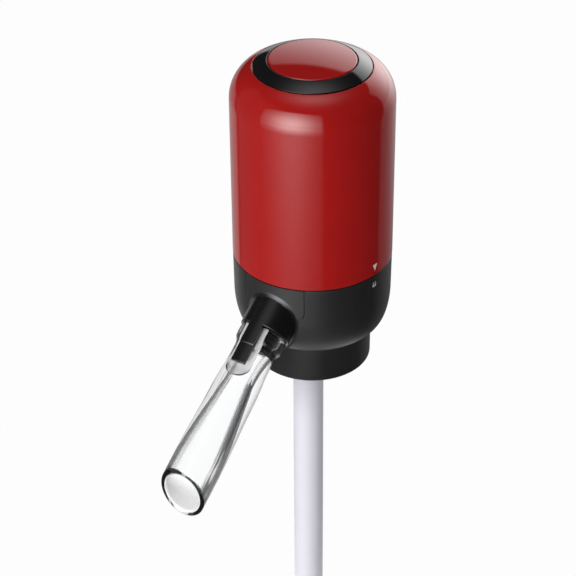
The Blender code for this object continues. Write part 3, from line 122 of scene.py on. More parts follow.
# Ring and button
RING_RADIUS = 0.01832
RING_BORE = 0.0140
RING_INNER_Z = 0.0949
RING_OUTER_Z = 0.0928856
RING_RIM_Z = 0.0919856
RING_TUBE = 0.0159
RING_TUBE_BORE = 0.0150
RING_LOW_Z = 0.0883
RING_LIP_Z = 0.0918
SEAT_Z = 0.0916856
SHELL_OPENING = 0.0165
RING_CROWN = 0.00012
CROWN_STEPS = 12
BUTTON_RADIUS = 0.0137
BUTTON_LOW_Z = 0.0909
BUTTON_EDGE_Z = 0.0951
BUTTON_DOME = 0.0011
BUTTON_WALL = 0.0015
BUTTON_FLANGE_RADIUS = 0.0147
BUTTON_FLANGE_HEIGHT = 0.0012
BUTTON_STEM = 0.0019
SPRING_SEAT_OUTER = 0.0050
SPRING_SEAT_INNER = 0.0034
SPRING_SEAT_DEPTH = 0.0009
DOME_STEPS = 20

# Collar, stopper and straw
COLLAR_RADIUS = 0.0192
COLLAR_FOOT = 0.0191
COLLAR_BORE = 0.01600
COLLAR_TOP_Z = 0.0009
COLLAR_LOW_Z = -0.0123
COLLAR_EDGE = 0.0005
COLLAR_TOP_EDGE = 0.00045
STOPPER_TOP_Z = 0.0009
STOPPER_RADIUS = 0.0157
PLUG_RADIUS = 0.0089
PLUG_TIP = 0.0084
PLUG_DEPTH = 0.0165
FIN_COUNT = 3
FIN_REACH = 0.0010
FIN_HEIGHT = 0.0012
FIN_PITCH = 0.0042
FIRST_FIN = 0.0036
STRAW_RADIUS = 0.00505
STRAW_WALL = 0.0010
STRAW_OFFSET = 0.0027
STRAW_LOW_Z = -0.2400
STRAW_TOP_Z = 0.0090
AIR_WAY = 0.0011
AIR_OFFSET = 0.00655

# Spout and its panel. Places are along the spout's axis, from the middle of the body
SPOUT_DROOP = math.radians(33)
SPOUT_AXIS_Z = 0.0300398
SLEEVE_RADIUS = 0.00832
SLEEVE_START = 0.0226437
SLEEVE_END = 0.0350437
NIPPLE_START = 0.0176437
NIPPLE_RADIUS = 0.0032
WINE_WAY = 0.0023
SPIGOT_RADIUS = 0.0049
SPIGOT_END = 0.0411437
SEAT_PLACES = (0.0014, 0.0040)
SEAT_RADIUS = 0.0040
RING_WIRE = 0.0005
TONGUE_WIDTH = 0.0048
TONGUE_END = 0.0488437
TONGUE_STEP_PLACE = 0.0421437
TONGUE_STEP = 0.00025
TONGUE_LOW = 0.00646
PANEL_HALF = 0.0109
PANEL_LOW_Z = 0.0163
PANEL_CORNER = 0.0022
PANEL_INNER = 0.02385
PANEL_GAP = 0.00016
PANEL_STEPS = 8
NOTCH_INNER = 0.0227
WEB_ACROSS = 0.0017
WEB_ALONG = 0.0022
WEB_STEPS = 8
POCKET_LOW = 0.0061
POCKET_DEEP = 0.0054
POCKET_DEEP_PLACE = 0.0426
POCKET_HALF = 0.0043
POCKET_END = 0.0529437
SOCKET_RADIUS = 0.0055
SPOUT_START = 0.0353437
TIP_PLACE = 0.0923437
TIP_TILT = math.radians(30)
TIP_BORE = 0.0060
TIP_ROUNDING = 0.0005
TIP_STEPS = 6
CURVE_STEPS = 6
BORE_LIMIT = 0.0066
SLANT_START = 0.0787
# The tube's outside and its bore: place from the tube's near end, and radius
OUTSIDE = (
    (0.0000, 0.00775), (0.0040, 0.00775), (0.0058, 0.00690), (0.0088, 0.00672), (0.0136, 0.00687),
    (0.0158, 0.00710), (0.0209, 0.00735), (0.0286, 0.00750), (0.0362, 0.00777), (0.0439, 0.00797),
)
BORE = (
    (0.0069, 0.00390), (0.0113, 0.00330), (0.0173, 0.00305), (0.0215, 0.00340), (0.0269, 0.00385),
    (0.0331, 0.00438), (0.0391, 0.00485), (0.0451, 0.00522), (0.0509, 0.00550),
)

# Camera, as in the photograph
CAMERA_LENS = 120.36
CAMERA_SENSOR = 36.0
CAMERA_AZIMUTH = math.radians(31.255)
CAMERA_ELEVATION = math.radians(33.65)
CAMERA_DISTANCE = 0.6307
CAMERA_LOOK = Vector((0, 0, 0.01153))
CAMERA_SHIFT = -0.04262

spout_matrix = Matrix.Translation((0, 0, SPOUT_AXIS_Z)) @ Matrix.Rotation(math.pi / 2 + SPOUT_DROOP, 4, "X")


# Outlines

def rounded(points, steps=CORNER_STEPS):
    """A closed outline whose points (radius, height, rounding) are turned into arcs."""
    outline = []
    for i, (radius, height, rounding) in enumerate(points):
        corner = Vector((radius, height))
        before = Vector(points[i - 1][:2]) - corner
        after = Vector(points[(i + 1) % len(points)][:2]) - corner
        if rounding == 0:
            outline.append(tuple(corner))
            continue
        half = before.angle(after) / 2
        reach = min(rounding / math.tan(half), CORNER_SHARE * before.length, CORNER_SHARE * after.length)
        size = reach * math.tan(half)
        middle = (before.normalized() + after.normalized()).normalized()
        centre = corner + middle * size / math.sin(half)
        start = corner + before.normalized() * reach - centre
        end = corner + after.normalized() * reach - centre
        turn = start.angle_signed(end)
        for step in range(steps + 1):
            angle = -turn * step / steps
            spot = Matrix.Rotation(angle, 2) @ start
            outline.append(tuple(centre + spot))
    return outline


def arc(centre_radius, centre_z, size, start, end, steps):
    return [
        (
            centre_radius + size * math.cos(start + (end - start) * i / steps),
            centre_z + size * math.sin(start + (end - start) * i / steps),
        )
        for i in range(steps + 1)
    ]


def plain(points):
    return [(radius, height, 0) for radius, height in points]


# Meshes

def finished(name, shape):
    bmesh.ops.recalc_face_normals(shape, faces=shape.faces)
    mesh = bpy.data.meshes.new(name)
    shape.to_mesh(mesh)
    shape.free()
    item = bpy.data.objects.new(name, mesh)
    bpy.context.scene.collection.objects.link(item)
    return item


def lathe(name, outline, sides, matrix=None):
    """A closed outline of (radius, height) turned about Z. Points on the axis become poles."""
    shape = bmesh.new()
    turns = [2 * math.pi * i / sides for i in range(sides)]
    rings = []
    for radius, height in outline:
        if radius < ON_AXIS:
            rings.append([shape.verts.new((0, 0, height))] * sides)
            continue
        rings.append([
            shape.verts.new((radius * math.cos(turn), radius * math.sin(turn), height)) for turn in turns
        ])
    for j, ring in enumerate(rings):
        below = rings[(j + 1) % len(rings)]
        if ring[0] is ring[1] and below[0] is below[1]:
            continue
        for i in range(sides):
            k = (i + 1) % sides
            corners = []
            for vert in (ring[i], ring[k], below[k], below[i]):
                if vert not in corners:
                    corners.append(vert)
            shape.faces.new(corners)
    if matrix is not None:
        shape.transform(matrix)
    return finished(name, shape)


def span(shape, lower, upper):
    """Closes the solid between two matching loops of corners."""
    count = len(lower)
    for i in range(count):
        k = (i + 1) % count
        shape.faces.new((lower[i], lower[k], upper[k], upper[i]))
    shape.faces.new(reversed(lower))
    shape.faces.new(upper)


def rod(name, radius, low, high, sides, matrix=None):
    return lathe(name, [(0, high), (radius, high), (radius, low), (0, low)], sides, matrix)


def block(name, low, high, matrix=None):
    shape = bmesh.new()
    for corner in bmesh.ops.create_cube(shape, size=1)["verts"]:
        for axis in range(3):
            corner.co[axis] = low[axis] if corner.co[axis] < 0 else high[axis]
    if matrix is not None:
        shape.transform(matrix)
    return finished(name, shape)


def sector(name, inner, outer, low, high, start, end):
    """A piece of a ring between two angles."""
    shape = bmesh.new()
    sections = []
    for i in range(SECTOR_STEPS + 1):
        angle = start + (end - start) * i / SECTOR_STEPS
        sections.append([
            shape.verts.new((radius * math.cos(angle), radius * math.sin(angle), height))
            for radius, height in ((inner, low), (outer, low), (outer, high), (inner, high))
        ])
    for first, second in zip(sections, sections[1:]):
        for k in range(4):
            shape.faces.new((first[k], first[(k + 1) % 4], second[(k + 1) % 4], second[k]))
    shape.faces.new(sections[0])
    shape.faces.new(reversed(sections[-1]))
    return finished(name, shape)


def combine(piece, tools, operation):
    """Cuts, joins or keeps with the tools, and makes the result the piece's own mesh."""
    for tool in tools:
        change = piece.modifiers.new(operation, "BOOLEAN")
        change.operation = operation
        change.solver = "EXACT"
        change.object = tool
    settle(piece)
    for tool in tools:
        bpy.data.objects.remove(tool, do_unlink=True)
    return piece


def settle(piece):
    bpy.context.view_layer.update()
    graph = bpy.context.evaluated_depsgraph_get()
    mesh = bpy.data.meshes.new_from_object(piece.evaluated_get(graph))
    piece.modifiers.clear()
    piece.data = mesh
    return piece


def at(angle, distance):
    return Matrix.Rotation(angle, 4, "Z") @ Matrix.Translation((distance, 0, 0))


def quarters(first):
    return [first + 2 * math.pi * i / LUG_COUNT for i in range(LUG_COUNT)]


def dress(piece, body, nodes, material, finish=None):
    """Gives the piece its shading and material, puts it in its body and hides the CAD nodes that it stands
    for.
    """
    piece.data.shade_smooth()
    piece.data.set_sharp_from_angle(angle=SHARP)
    weighted = piece.modifiers.new("weighted", "WEIGHTED_NORMAL")
    weighted.keep_sharp = True
    weighted.weight = 100
    settle(piece)
    piece.data.materials.clear()
    piece.data.materials.append(finishes[finish or material])
    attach(piece, body)
    if nodes:
        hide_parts(*nodes)
    return piece


# Materials

# A noise keeps mostly to this part of its range
NOISE_LOW = 0.3
NOISE_HIGH = 0.7
RELIEF = 0.00002

# Clear finish. Painted shade: the bore is painted dark over the EDGE_ON range of facing, seen through the
# wall. Painted
# reflection: white is painted on the pocket's floor, and it gets thinner beyond the tongue by the drop below
CLEAR_TONES = ((0.975, 0.985, 0.985, 1), (0.985, 0.99, 0.99, 1))
CLEAR_FLAT = (0.96, 0.97, 0.97, 1)
CLEAR_ROUGHNESS = (0.004, 0.012)
CLEAR_IOR = 1.49
CLEAR_PATCH = 60.0
EDGE_ON = (0.24, 0.52)
PAINTED_SHADE_SHARE = 0.82
PAINTED_SHADE_GREY = (0.18, 0.18, 0.18, 1)
PAINTED_WHITE = (0.98, 0.98, 0.98, 1)
PAINTED_REFLECTION_SHARE = 0.8
PAINTED_REFLECTION_DROP = 0.25
MOUTH_SHARE = 0.8
MOUTH_REACH = 0.006


class Nodes:
    """A small helper to write a material's nodes in reading order."""

    def __init__(self, tree):
        self.tree = tree

    def add(self, kind, **settings):
        node = self.tree.nodes.new(kind)
        for key, value in settings.items():
            setattr(node, key, value)
        return node

    def link(self, output, socket):
        self.tree.links.new(output, socket)

    def put(self, socket, value):
        if isinstance(value, bpy.types.NodeSocket):
            self.link(value, socket)
        else:
            socket.default_value = value

    def feed(self, node, values):
        """Sets or links some of a node's inputs, given by name or number."""
        for key, value in values.items():
            self.put(node.inputs[key], value)
        return node.outputs

    def maths(self, operation, *values, clamp=False):
        node = self.add("ShaderNodeMath", operation=operation, use_clamp=clamp)
        return self.feed(node, dict(enumerate(values)))[0]

    def times(self, product, *others):
        for value in others:
            product = self.maths("MULTIPLY", product, value)
        return product

    def vector(self, operation, *values):
        """The result of vector maths, which is a number for a length or a dot product."""
        outputs = self.feed(self.add("ShaderNodeVectorMath", operation=operation), dict(enumerate(values)))
        return outputs["Value" if operation in ("LENGTH", "DOT_PRODUCT") else "Vector"]

    def noise(self, place, scale, detail=2.0):
        node = self.add("ShaderNodeTexNoise")
        return self.feed(node, {"Vector": place, "Scale": scale, "Detail": detail})["Fac"]

    def spread(self, value, low, high):
        """A noise stretched to reach from low to high."""
        ends = {"From Min": NOISE_LOW, "From Max": NOISE_HIGH, "To Min": low, "To Max": high}
        return self.feed(self.add("ShaderNodeMapRange"), {"Value": value, **ends})["Result"]

    def fade(self, value, zero_at, one_at):
        """Smooth step from nothing at one value to all at another."""
        node = self.add("ShaderNodeMapRange", interpolation_type="SMOOTHSTEP")
        return self.feed(node, {"Value": value, "From Min": zero_at, "From Max": one_at})["Result"]

    def blend(self, share, first, second):
        """Two colours, with all of the second at a share of 1."""
        return self.feed(self.add("ShaderNodeMix", data_type="RGBA"), {0: share, 6: first, 7: second})[2]

    def mix(self, share, first, second):
        """Two shaders, with all of the second at a share of 1."""
        return self.feed(self.add("ShaderNodeMixShader"), {0: share, 1: first, 2: second})[0]

    def shader(self, kind, **values):
        return self.feed(self.add(kind), values)[0]

    def group(self, tree, towards):
        """Radiance that a node group gives in a direction."""
        return self.feed(self.add("ShaderNodeGroup", node_tree=tree), {0: towards})[0]


def axis_distance(nodes, place):
    """Distance from the spout's axis."""
    start = nodes.vector("SUBTRACT", place, spout_matrix.to_translation())
    across = nodes.vector("CROSS_PRODUCT", start, spout_matrix.to_3x3() @ Vector((0, 0, 1)))
    return nodes.vector("LENGTH", across)


def new_material(name):
    """A material, the helper for its nodes and its main shader."""
    material = bpy.data.materials.new(name)
    material.use_nodes = True
    return material, Nodes(material.node_tree), material.node_tree.nodes["Principled BSDF"]


def moulded(
    name, colour, roughness, spread=0.02, shade=0.05, grain=900.0, bump=0.02, patch=60.0, metallic=0.0,
    core=None,
):
    """Moulded or metal surface: its tone and its gloss drift slowly, over a fine grain.

    A core is the colour and roughness that take over near the spout's axis.
    """
    material, nodes, shader = new_material(name)
    place = nodes.add("ShaderNodeTexCoord").outputs["Object"]
    slow = nodes.noise(place, patch, 3.0)
    fine = nodes.noise(place, grain)
    darker = (*[channel * (1 - shade) for channel in colour], 1.0)
    lighter = (*[min(1.0, channel * (1 + shade)) for channel in colour], 1.0)
    tone = nodes.blend(nodes.spread(slow, 0.0, 1.0), darker, lighter)
    half = spread / 2
    gloss = nodes.maths("ADD", nodes.spread(slow, -half, half), nodes.spread(fine, -half, half))
    if core is not None:
        share = nodes.fade(axis_distance(nodes, place), SLEEVE_RADIUS + 4 * SINK, SLEEVE_RADIUS + SINK)
        tone = nodes.blend(share, tone, (*core[0], 1.0))
        gloss = nodes.maths("ADD", gloss, nodes.times(share, core[1] - roughness))
    gloss = nodes.maths("ADD", gloss, roughness, clamp=True)
    normal = nodes.shader("ShaderNodeBump", Strength=bump, Distance=RELIEF, Height=fine)
    nodes.feed(shader, {"Base Color": tone, "Roughness": gloss, "Metallic": metallic, "Normal": normal})
    material.diffuse_color = (*colour, 1.0)
    return material


def spout_place(nodes, place):
    """The place in the spout's own frame: aside, up and along its axis."""
    own = nodes.add("ShaderNodeMapping", vector_type="TEXTURE")
    frame_of_spout = {"Location": spout_matrix.to_translation(), "Rotation": spout_matrix.to_euler()}
    place = nodes.feed(own, {"Vector": place, **frame_of_spout})[0]
    return nodes.feed(nodes.add("ShaderNodeSeparateXYZ"), {0: place})


def pocket_masks(nodes, aside, up, along):
    """Shares of the dark grey painted as shade on the pocket's end wall, and of the white painted as a
    reflection on its floor.
    """
    round_place = POCKET_END - POCKET_HALF
    beyond = nodes.maths("MAXIMUM", nodes.maths("SUBTRACT", along, round_place), 0.0)
    square = nodes.maths("ADD", nodes.times(aside, aside), nodes.times(beyond, beyond))
    reach = nodes.maths("SQRT", square)
    # Painted shade on the pocket's end wall
    wall = nodes.times(
        nodes.fade(up, POCKET_DEEP + SINK / 2, POCKET_DEEP + SINK),
        nodes.fade(reach, POCKET_HALF - SINK, POCKET_HALF - SINK / 2),
        nodes.fade(reach, POCKET_HALF + 1.5 * SINK, POCKET_HALF + SINK / 2),
        nodes.fade(along, round_place, POCKET_END - POCKET_HALF / 2),
    )
    # Painted reflection on the pocket's floor, thinner beyond the tongue
    thinner = nodes.times(nodes.fade(along, TONGUE_END - OVERRUN, TONGUE_END), PAINTED_REFLECTION_DROP)
    floor = nodes.times(
        nodes.fade(up, POCKET_DEEP - SINK, POCKET_DEEP),
        PAINTED_REFLECTION_SHARE,
        nodes.fade(up, POCKET_LOW + 2 * SINK, POCKET_LOW + SINK),
        nodes.fade(reach, POCKET_HALF - SINK / 4, POCKET_HALF - SINK),
        nodes.maths("SUBTRACT", 1.0, thinner),
    )
    return wall, floor


def clear_finish():
    """Clear moulding, with white painted on the pocket's floor as a reflection, and a white diffuse in the
    bore's mouth.

    Painted shade: seen through the wall, the pocket's end is painted dark grey, and so is the bore where it
    is seen edge on.
    """
    material, nodes, shader = new_material("clear_plastic")
    place = nodes.add("ShaderNodeTexCoord").outputs["Object"]
    slow = nodes.spread(nodes.noise(place, CLEAR_PATCH, 3.0), 0.0, 1.0)
    tone = nodes.blend(slow, *CLEAR_TONES)
    gloss = nodes.spread(slow, *CLEAR_ROUGHNESS)
    nodes.feed(shader, {"Base Color": tone, "Roughness": gloss, "IOR": CLEAR_IOR, "Transmission Weight": 1.0})
    aside, up, along = spout_place(nodes, place)
    wall, floor = pocket_masks(nodes, aside, up, along)
    within = nodes.add("ShaderNodeNewGeometry").outputs["Backfacing"]
    without = nodes.maths("SUBTRACT", 1.0, within)
    bore = nodes.fade(axis_distance(nodes, place), BORE_LIMIT + SINK / 4, BORE_LIMIT)
    facing = nodes.add("ShaderNodeLayerWeight").outputs["Facing"]
    edge = nodes.times(nodes.fade(facing, *EDGE_ON), within)
    # Painted shade: dark grey on the bore where it is seen edge on, and on the pocket's end wall
    dark = nodes.maths("MAXIMUM", nodes.times(bore, edge, PAINTED_SHADE_SHARE), wall)
    mouth = nodes.times(bore, nodes.fade(along, TIP_PLACE - MOUTH_REACH, TIP_PLACE), without, MOUTH_SHARE)
    # Painted white: a reflection on the pocket's floor, and a white diffuse in the bore's mouth near the tip
    painted_white_share = nodes.maths("ADD", floor, mouth)
    shown = nodes.mix(dark, shader.outputs[0], nodes.shader("ShaderNodeBsdfDiffuse", Color=PAINTED_SHADE_GREY))
    shown = nodes.mix(painted_white_share, shown, nodes.shader("ShaderNodeBsdfDiffuse", Color=PAINTED_WHITE))
    nodes.link(shown, material.node_tree.nodes["Material Output"].inputs["Surface"])
    material.diffuse_color = CLEAR_FLAT
    return material


BLACK = dict(colour=(0.0200, 0.0193, 0.0195), roughness=0.34, spread=0.04)
# What differs from a plain moulding. The core of the mount is its sleeve, tongue and spigot
LOOKS = {
    "red_plastic": dict(colour=(0.42, 0.0108, 0.0100), roughness=0.05, shade=0.03, bump=0.01),
    "black_gloss": dict(colour=(0.008, 0.008, 0.009), roughness=0.05, bump=0.01),
    "black_plastic": dict(BLACK, bump=0.03),
    "black_mount": dict(BLACK, bump=0.01, core=((0.0090, 0.0088, 0.0089), 0.23)),
    "dark_plastic": dict(colour=(0.030, 0.030, 0.033), roughness=0.42, spread=0.08, bump=0.15),
    "grey_plastic": dict(colour=(0.180, 0.180, 0.185), roughness=0.48, spread=0.08, bump=0.2),
    "white_plastic": dict(colour=(0.875, 0.865, 0.95), roughness=0.35, spread=0.04, shade=0.01, grain=6000.0),
    "black_rubber": dict(colour=(0.018, 0.018, 0.018), roughness=0.55, spread=0.1, bump=0.2),
    "white_rubber": dict(colour=(0.700, 0.700, 0.690), roughness=0.5, spread=0.1, bump=0.2),
    "steel": dict(colour=(0.580, 0.580, 0.590), roughness=0.26, spread=0.08, bump=0.1, metallic=1.0),
    "brass": dict(colour=(0.650, 0.480, 0.200), roughness=0.28, spread=0.08, bump=0.1, metallic=1.0),
    "copper": dict(
        colour=(0.600, 0.280, 0.150), roughness=0.34, spread=0.1, bump=0.2, metallic=1.0, grain=2500.0,
    ),
    "cell_metal": dict(colour=(0.120, 0.150, 0.200), roughness=0.33, spread=0.08, bump=0.05, metallic=0.6),
    "board_green": dict(
        colour=(0.020, 0.130, 0.060), roughness=0.42, spread=0.06, shade=0.15, bump=0.1, patch=400.0,
    ),
    "red_wire": dict(colour=(0.450, 0.020, 0.020), roughness=0.45, spread=0.06, bump=0.08),
    "mark_white": dict(colour=(0.92, 0.88, 0.88), roughness=0.5, spread=0.06, shade=0.04, bump=0.1),
    "mark_grey": dict(colour=(0.52, 0.52, 0.52), roughness=0.5, spread=0.06, shade=0.04, bump=0.1),
}

finishes = {name: moulded(name, **look) for name, look in LOOKS.items()}
finishes["clear_plastic"] = clear_finish()


# Shell, ring and button

def make_shell():
    """Glossy red sleeve with a rounded shoulder, a seat for the ring and four lugs inside."""
    centre = BODY_RADIUS - SHOULDER_RADIUS
    turn = math.pi / 2 - SHOULDER_SLOPE
    slope = math.tan(SHOULDER_SLOPE)
    seat_radius = RING_RADIUS + GAP
    edge_z = RING_OUTER_Z - GAP * slope
    lip_z = SEAT_Z - SHELL_WALL
    inner_radius = SHOULDER_RADIUS - SHELL_WALL
    inner_turn = math.asin((lip_z - SHOULDER_Z) / inner_radius)
    outer = arc(centre, SHOULDER_Z, SHOULDER_RADIUS, turn, 0, ROUND_STEPS)
    inner = arc(centre, SHOULDER_Z, inner_radius, 0, inner_turn, ROUND_STEPS)
    points = [
        (SHELL_OPENING, SEAT_Z, 0), (seat_radius, SEAT_Z, 0), (seat_radius, edge_z, EDGE / 2), *plain(outer),
        (BODY_RADIUS, SEAM_Z, SEAM_EDGE), (SHELL_BORE, SEAM_Z, SEAM_EDGE), *plain(inner),
        (SHELL_OPENING, lip_z, 0),
    ]
    shell = lathe("shell_sleeve", rounded(points), BODY_SIDES)
    lugs = [
        sector(
            f"lug_{i}", LUG_INNER, SHELL_BORE + SHELL_WALL / 2, LUG_LOW_Z, LUG_LOW_Z + LUG_HEIGHT,
            angle - LUG_HALF_ANGLE, angle + LUG_HALF_ANGLE,
        )
        for i, angle in enumerate(quarters(LUG_ANGLE))
    ]
    combine(shell, lugs, "UNION")
    return dress(shell, "shell", ["outer_shell"], "red_plastic")


def make_ring():
    """Gloss black ring, slightly domed, with a guide tube for the button."""
    crown = []
    for i in range(1, CROWN_STEPS):
        share = i / CROWN_STEPS
        radius = RING_BORE + (RING_RADIUS - RING_BORE) * share
        height = RING_INNER_Z + (RING_OUTER_Z - RING_INNER_Z) * share + 4 * RING_CROWN * share * (1 - share)
        crown.append((radius, height, 0))
    points = [
        (RING_BORE, RING_INNER_Z, EDGE), *crown, (RING_RADIUS, RING_OUTER_Z, EDGE / 2),
        (RING_RADIUS, RING_RIM_Z, 0), (RING_TUBE, RING_RIM_Z, 0), (RING_TUBE, RING_LOW_Z, EDGE / 2),
        (RING_TUBE_BORE, RING_LOW_Z, EDGE / 2), (RING_TUBE_BORE, RING_LIP_Z + GAP, 0),
        (RING_BORE, RING_LIP_Z + GAP, 0),
    ]
    ring = lathe("bezel_ring", rounded(points), BODY_SIDES)
    return dress(ring, "shell", ["top_ring"], "black_gloss")


def make_button():
    """Domed cap with a skirt, a stop flange, a seat for its spring and a stem over the switch."""
    edge = BUTTON_EDGE_Z
    crown = BUTTON_RADIUS - RUNNING_GAP
    dome = []
    for i in range(DOME_STEPS):
        share = i / DOME_STEPS
        dome.append((crown * share, edge + BUTTON_DOME * (1 - share**2), 0))
    shoulder = arc(crown, edge - RUNNING_GAP, RUNNING_GAP, math.pi / 2, 0, CORNER_STEPS)
    ceiling = edge - BUTTON_WALL
    seat = ceiling + SPRING_SEAT_DEPTH
    bore = BUTTON_RADIUS - BUTTON_WALL
    flange_low = BUTTON_LOW_Z - GAP
    flange_top = flange_low + BUTTON_FLANGE_HEIGHT
    stem_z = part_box("button_cap")[0].z
    points = [
        *dome, *plain(shoulder), (BUTTON_RADIUS, flange_top, 0), (BUTTON_FLANGE_RADIUS, flange_top, EDGE / 2),
        (BUTTON_FLANGE_RADIUS, flange_low, EDGE / 2), (bore, flange_low, EDGE / 2), (bore, ceiling, EDGE),
        (SPRING_SEAT_OUTER, ceiling, 0), (SPRING_SEAT_OUTER, seat, 0), (SPRING_SEAT_INNER, seat, 0),
        (SPRING_SEAT_INNER, ceiling, 0), (BUTTON_STEM, ceiling, EDGE), (BUTTON_STEM, stem_z, EDGE),
        (0, stem_z, 0),
    ]
    button = lathe("push_button", rounded(points), BODY_SIDES)
    return dress(button, "button", ["button_cap"], "red_plastic")


# Base, collar, stopper and straw

def foot_outline():
    """The foot curves in to the collar, flatter below than on its side."""
    points = []
    for i in range(ROUND_STEPS):
        turn = math.pi / 2 * i / ROUND_STEPS
        out = (BASE_LOWER_RADIUS - BASE_FOOT_RADIUS) * math.cos(turn) ** ROUND_OUT_SHARE
        down = BASE_ROUND_HEIGHT * math.sin(turn) ** ROUND_DOWN_SHARE
        points.append((BASE_FOOT_RADIUS + out, BASE_LOW_Z + BASE_ROUND_HEIGHT - down))
    return plain([*points, (BASE_FOOT_RADIUS, BASE_LOW_Z)])


def panel_tool(name, grow, inner, outer):
    """A curved panel in the base's wall, with two rounded lower corners."""
    half = PANEL_HALF + grow
    low = PANEL_LOW_Z - grow
    corner = PANEL_CORNER + grow
    high = BASE_TOP_Z + (OVERRUN if grow else 0)
    turns = [math.pi / 2 * i / PANEL_STEPS for i in range(PANEL_STEPS + 1)]
    front = [(-half, high)]
    for turn in turns:
        front.append((-half + corner - corner * math.cos(turn), low + corner - corner * math.sin(turn)))
    for turn in turns:
        front.append((half - corner + corner * math.sin(turn), low + corner - corner * math.cos(turn)))
    front.append((half, high))
    shape = bmesh.new()
    span(shape, *[[shape.verts.new((x, y, z)) for x, z in front] for y in (-BASE_RADIUS - 2 * OVERRUN, 0)])
    prism = finished(f"{name}_prism", shape)
    low -= OVERRUN
    high += OVERRUN
    wall = lathe(name, [(outer, high), (outer, low), (inner, low), (inner, high)], BODY_SIDES)
    return combine(wall, [prism], "INTERSECT")


def twist_slots():
    """A run and an entry for each of the shell's lugs."""
    low = LUG_LOW_Z - RUNNING_GAP
    high = LUG_LOW_Z + LUG_HEIGHT + RUNNING_GAP
    margin = LUG_HALF_ANGLE + RUNNING_GAP / NECK_RADIUS
    outer = NECK_RADIUS + OVERRUN / 8
    slots = []
    for i, angle in enumerate(quarters(LUG_ANGLE)):
        start = angle - margin
        end = angle + TWIST + margin
        entry = end - 2 * margin
        slots.append(sector(f"run_{i}", LUG_SLOT_RADIUS, outer, low, high, start, end))
        slots.append(sector(f"entry_{i}", LUG_SLOT_RADIUS, outer, low, NECK_TOP_Z + OVERRUN, entry, end))
    return slots


def bottle_holes(low, high):
    """The holes for the straw and for the air."""
    straw = Matrix.Translation((0, -STRAW_OFFSET, 0))
    air = Matrix.Translation((0, AIR_OFFSET, 0))
    return [
        rod("straw_hole", STRAW_RADIUS + GAP, low, high, TUBE_SIDES, straw),
        rod("air_hole", AIR_WAY, low, high, SMALL_SIDES, air),
    ]


def make_base():
    """Black cup with a rounded foot, a neck with lug slots, posts and a notch for the spout's panel."""
    points = [
        (0, FLOOR_TOP_Z, 0), (BASE_FOOT_RADIUS - BASE_WALL, FLOOR_TOP_Z, 0),
        (BASE_LOWER_RADIUS - BASE_WALL, BASE_LOW_Z + BASE_ROUND_HEIGHT, 0),
        (BASE_RADIUS - BASE_WALL, DECK_Z - BASE_WALL, 0), (NECK_BORE, DECK_Z - GAP, 0),
        (NECK_BORE, NECK_TOP_Z, EDGE), (NECK_RADIUS, NECK_TOP_Z, EDGE), (NECK_RADIUS, BASE_TOP_Z, 0),
        (BASE_RADIUS, BASE_TOP_Z, SEAM_EDGE), *foot_outline(), (0, BASE_LOW_Z, 0),
    ]
    base = lathe("base_cup", rounded(points), BODY_SIDES)
    posts = []
    holes = []
    for i, angle in enumerate(quarters(math.pi / LUG_COUNT)):
        place = at(angle, POST_DISTANCE)
        posts.append(rod(f"post_{i}", POST_RADIUS, FLOOR_TOP_Z - GAP, DECK_Z - GAP, SMALL_SIDES, place))
        holes.append(rod(f"hole_{i}", POST_HOLE, POST_HOLE_Z, DECK_Z + OVERRUN, SMALL_SIDES, place))
    combine(base, posts, "UNION")
    holes += twist_slots()
    holes += bottle_holes(-OVERRUN, FLOOR_TOP_Z + OVERRUN)
    holes.append(panel_tool("notch", PANEL_GAP, NOTCH_INNER, BASE_RADIUS + OVERRUN))
    radius = SLEEVE_RADIUS + GAP
    holes.append(rod("sleeve_hole", radius, SLEEVE_START - OVERRUN, SLEEVE_END, TUBE_SIDES, spout_matrix))
    combine(base, holes, "DIFFERENCE")
    return dress(base, "base", ["base_housing"], "black_plastic")


def make_collar():
    """Ring that hangs round the bottle's neck."""
    points = [
        (COLLAR_RADIUS, COLLAR_TOP_Z, COLLAR_TOP_EDGE), (COLLAR_FOOT, COLLAR_LOW_Z, COLLAR_EDGE),
        (COLLAR_BORE, COLLAR_LOW_Z, COLLAR_EDGE), (COLLAR_BORE, COLLAR_TOP_Z, 0),
    ]
    collar = lathe("neck_collar", rounded(points), BODY_SIDES)
    return dress(collar, "base", ["bottle_collar"], "black_plastic")


def make_stopper():
    """Silicone flange and finned plug with soft edges."""
    fins = []
    for i in range(FIN_COUNT):
        top = -FIRST_FIN - i * FIN_PITCH
        low = top - FIN_HEIGHT
        radius = PLUG_RADIUS + (PLUG_TIP - PLUG_RADIUS) * -low / PLUG_DEPTH
        fins += [(radius, top, EDGE), (radius + FIN_REACH, top - FIN_HEIGHT / 3, EDGE), (radius, low, EDGE)]
    points = [
        (0, STOPPER_TOP_Z, 0), (STOPPER_RADIUS, STOPPER_TOP_Z, EDGE), (STOPPER_RADIUS, 0, EDGE),
        (PLUG_RADIUS, 0, EDGE), *fins, (PLUG_TIP, -PLUG_DEPTH, 2 * EDGE), (0, -PLUG_DEPTH, 0),
    ]
    stopper = lathe("finned_plug", rounded(points), TUBE_SIDES)
    combine(stopper, bottle_holes(-PLUG_DEPTH - OVERRUN, STOPPER_TOP_Z + OVERRUN), "DIFFERENCE")
    return dress(stopper, "base", ["bottle_stopper"], "black_rubber")


def make_straw():
    """Long rigid straw."""
    inner = STRAW_RADIUS - STRAW_WALL
    points = [
        (STRAW_RADIUS, STRAW_TOP_Z, EDGE), (STRAW_RADIUS, STRAW_LOW_Z, EDGE), (inner, STRAW_LOW_Z, EDGE),
        (inner, STRAW_TOP_Z, EDGE),
    ]
    straw = lathe("long_straw", rounded(points), TUBE_SIDES, Matrix.Translation((0, -STRAW_OFFSET, 0)))
    return dress(straw, "straw", ["suction_straw"], "white_plastic")


# Spout and its mount

def wall_place(x, up):
    """Where a line beside the spout's axis meets the base's wall, along that axis."""
    wall_y = -math.sqrt(BASE_RADIUS**2 - x**2)
    return (up * math.sin(-SPOUT_DROOP) - wall_y) / math.cos(SPOUT_DROOP)


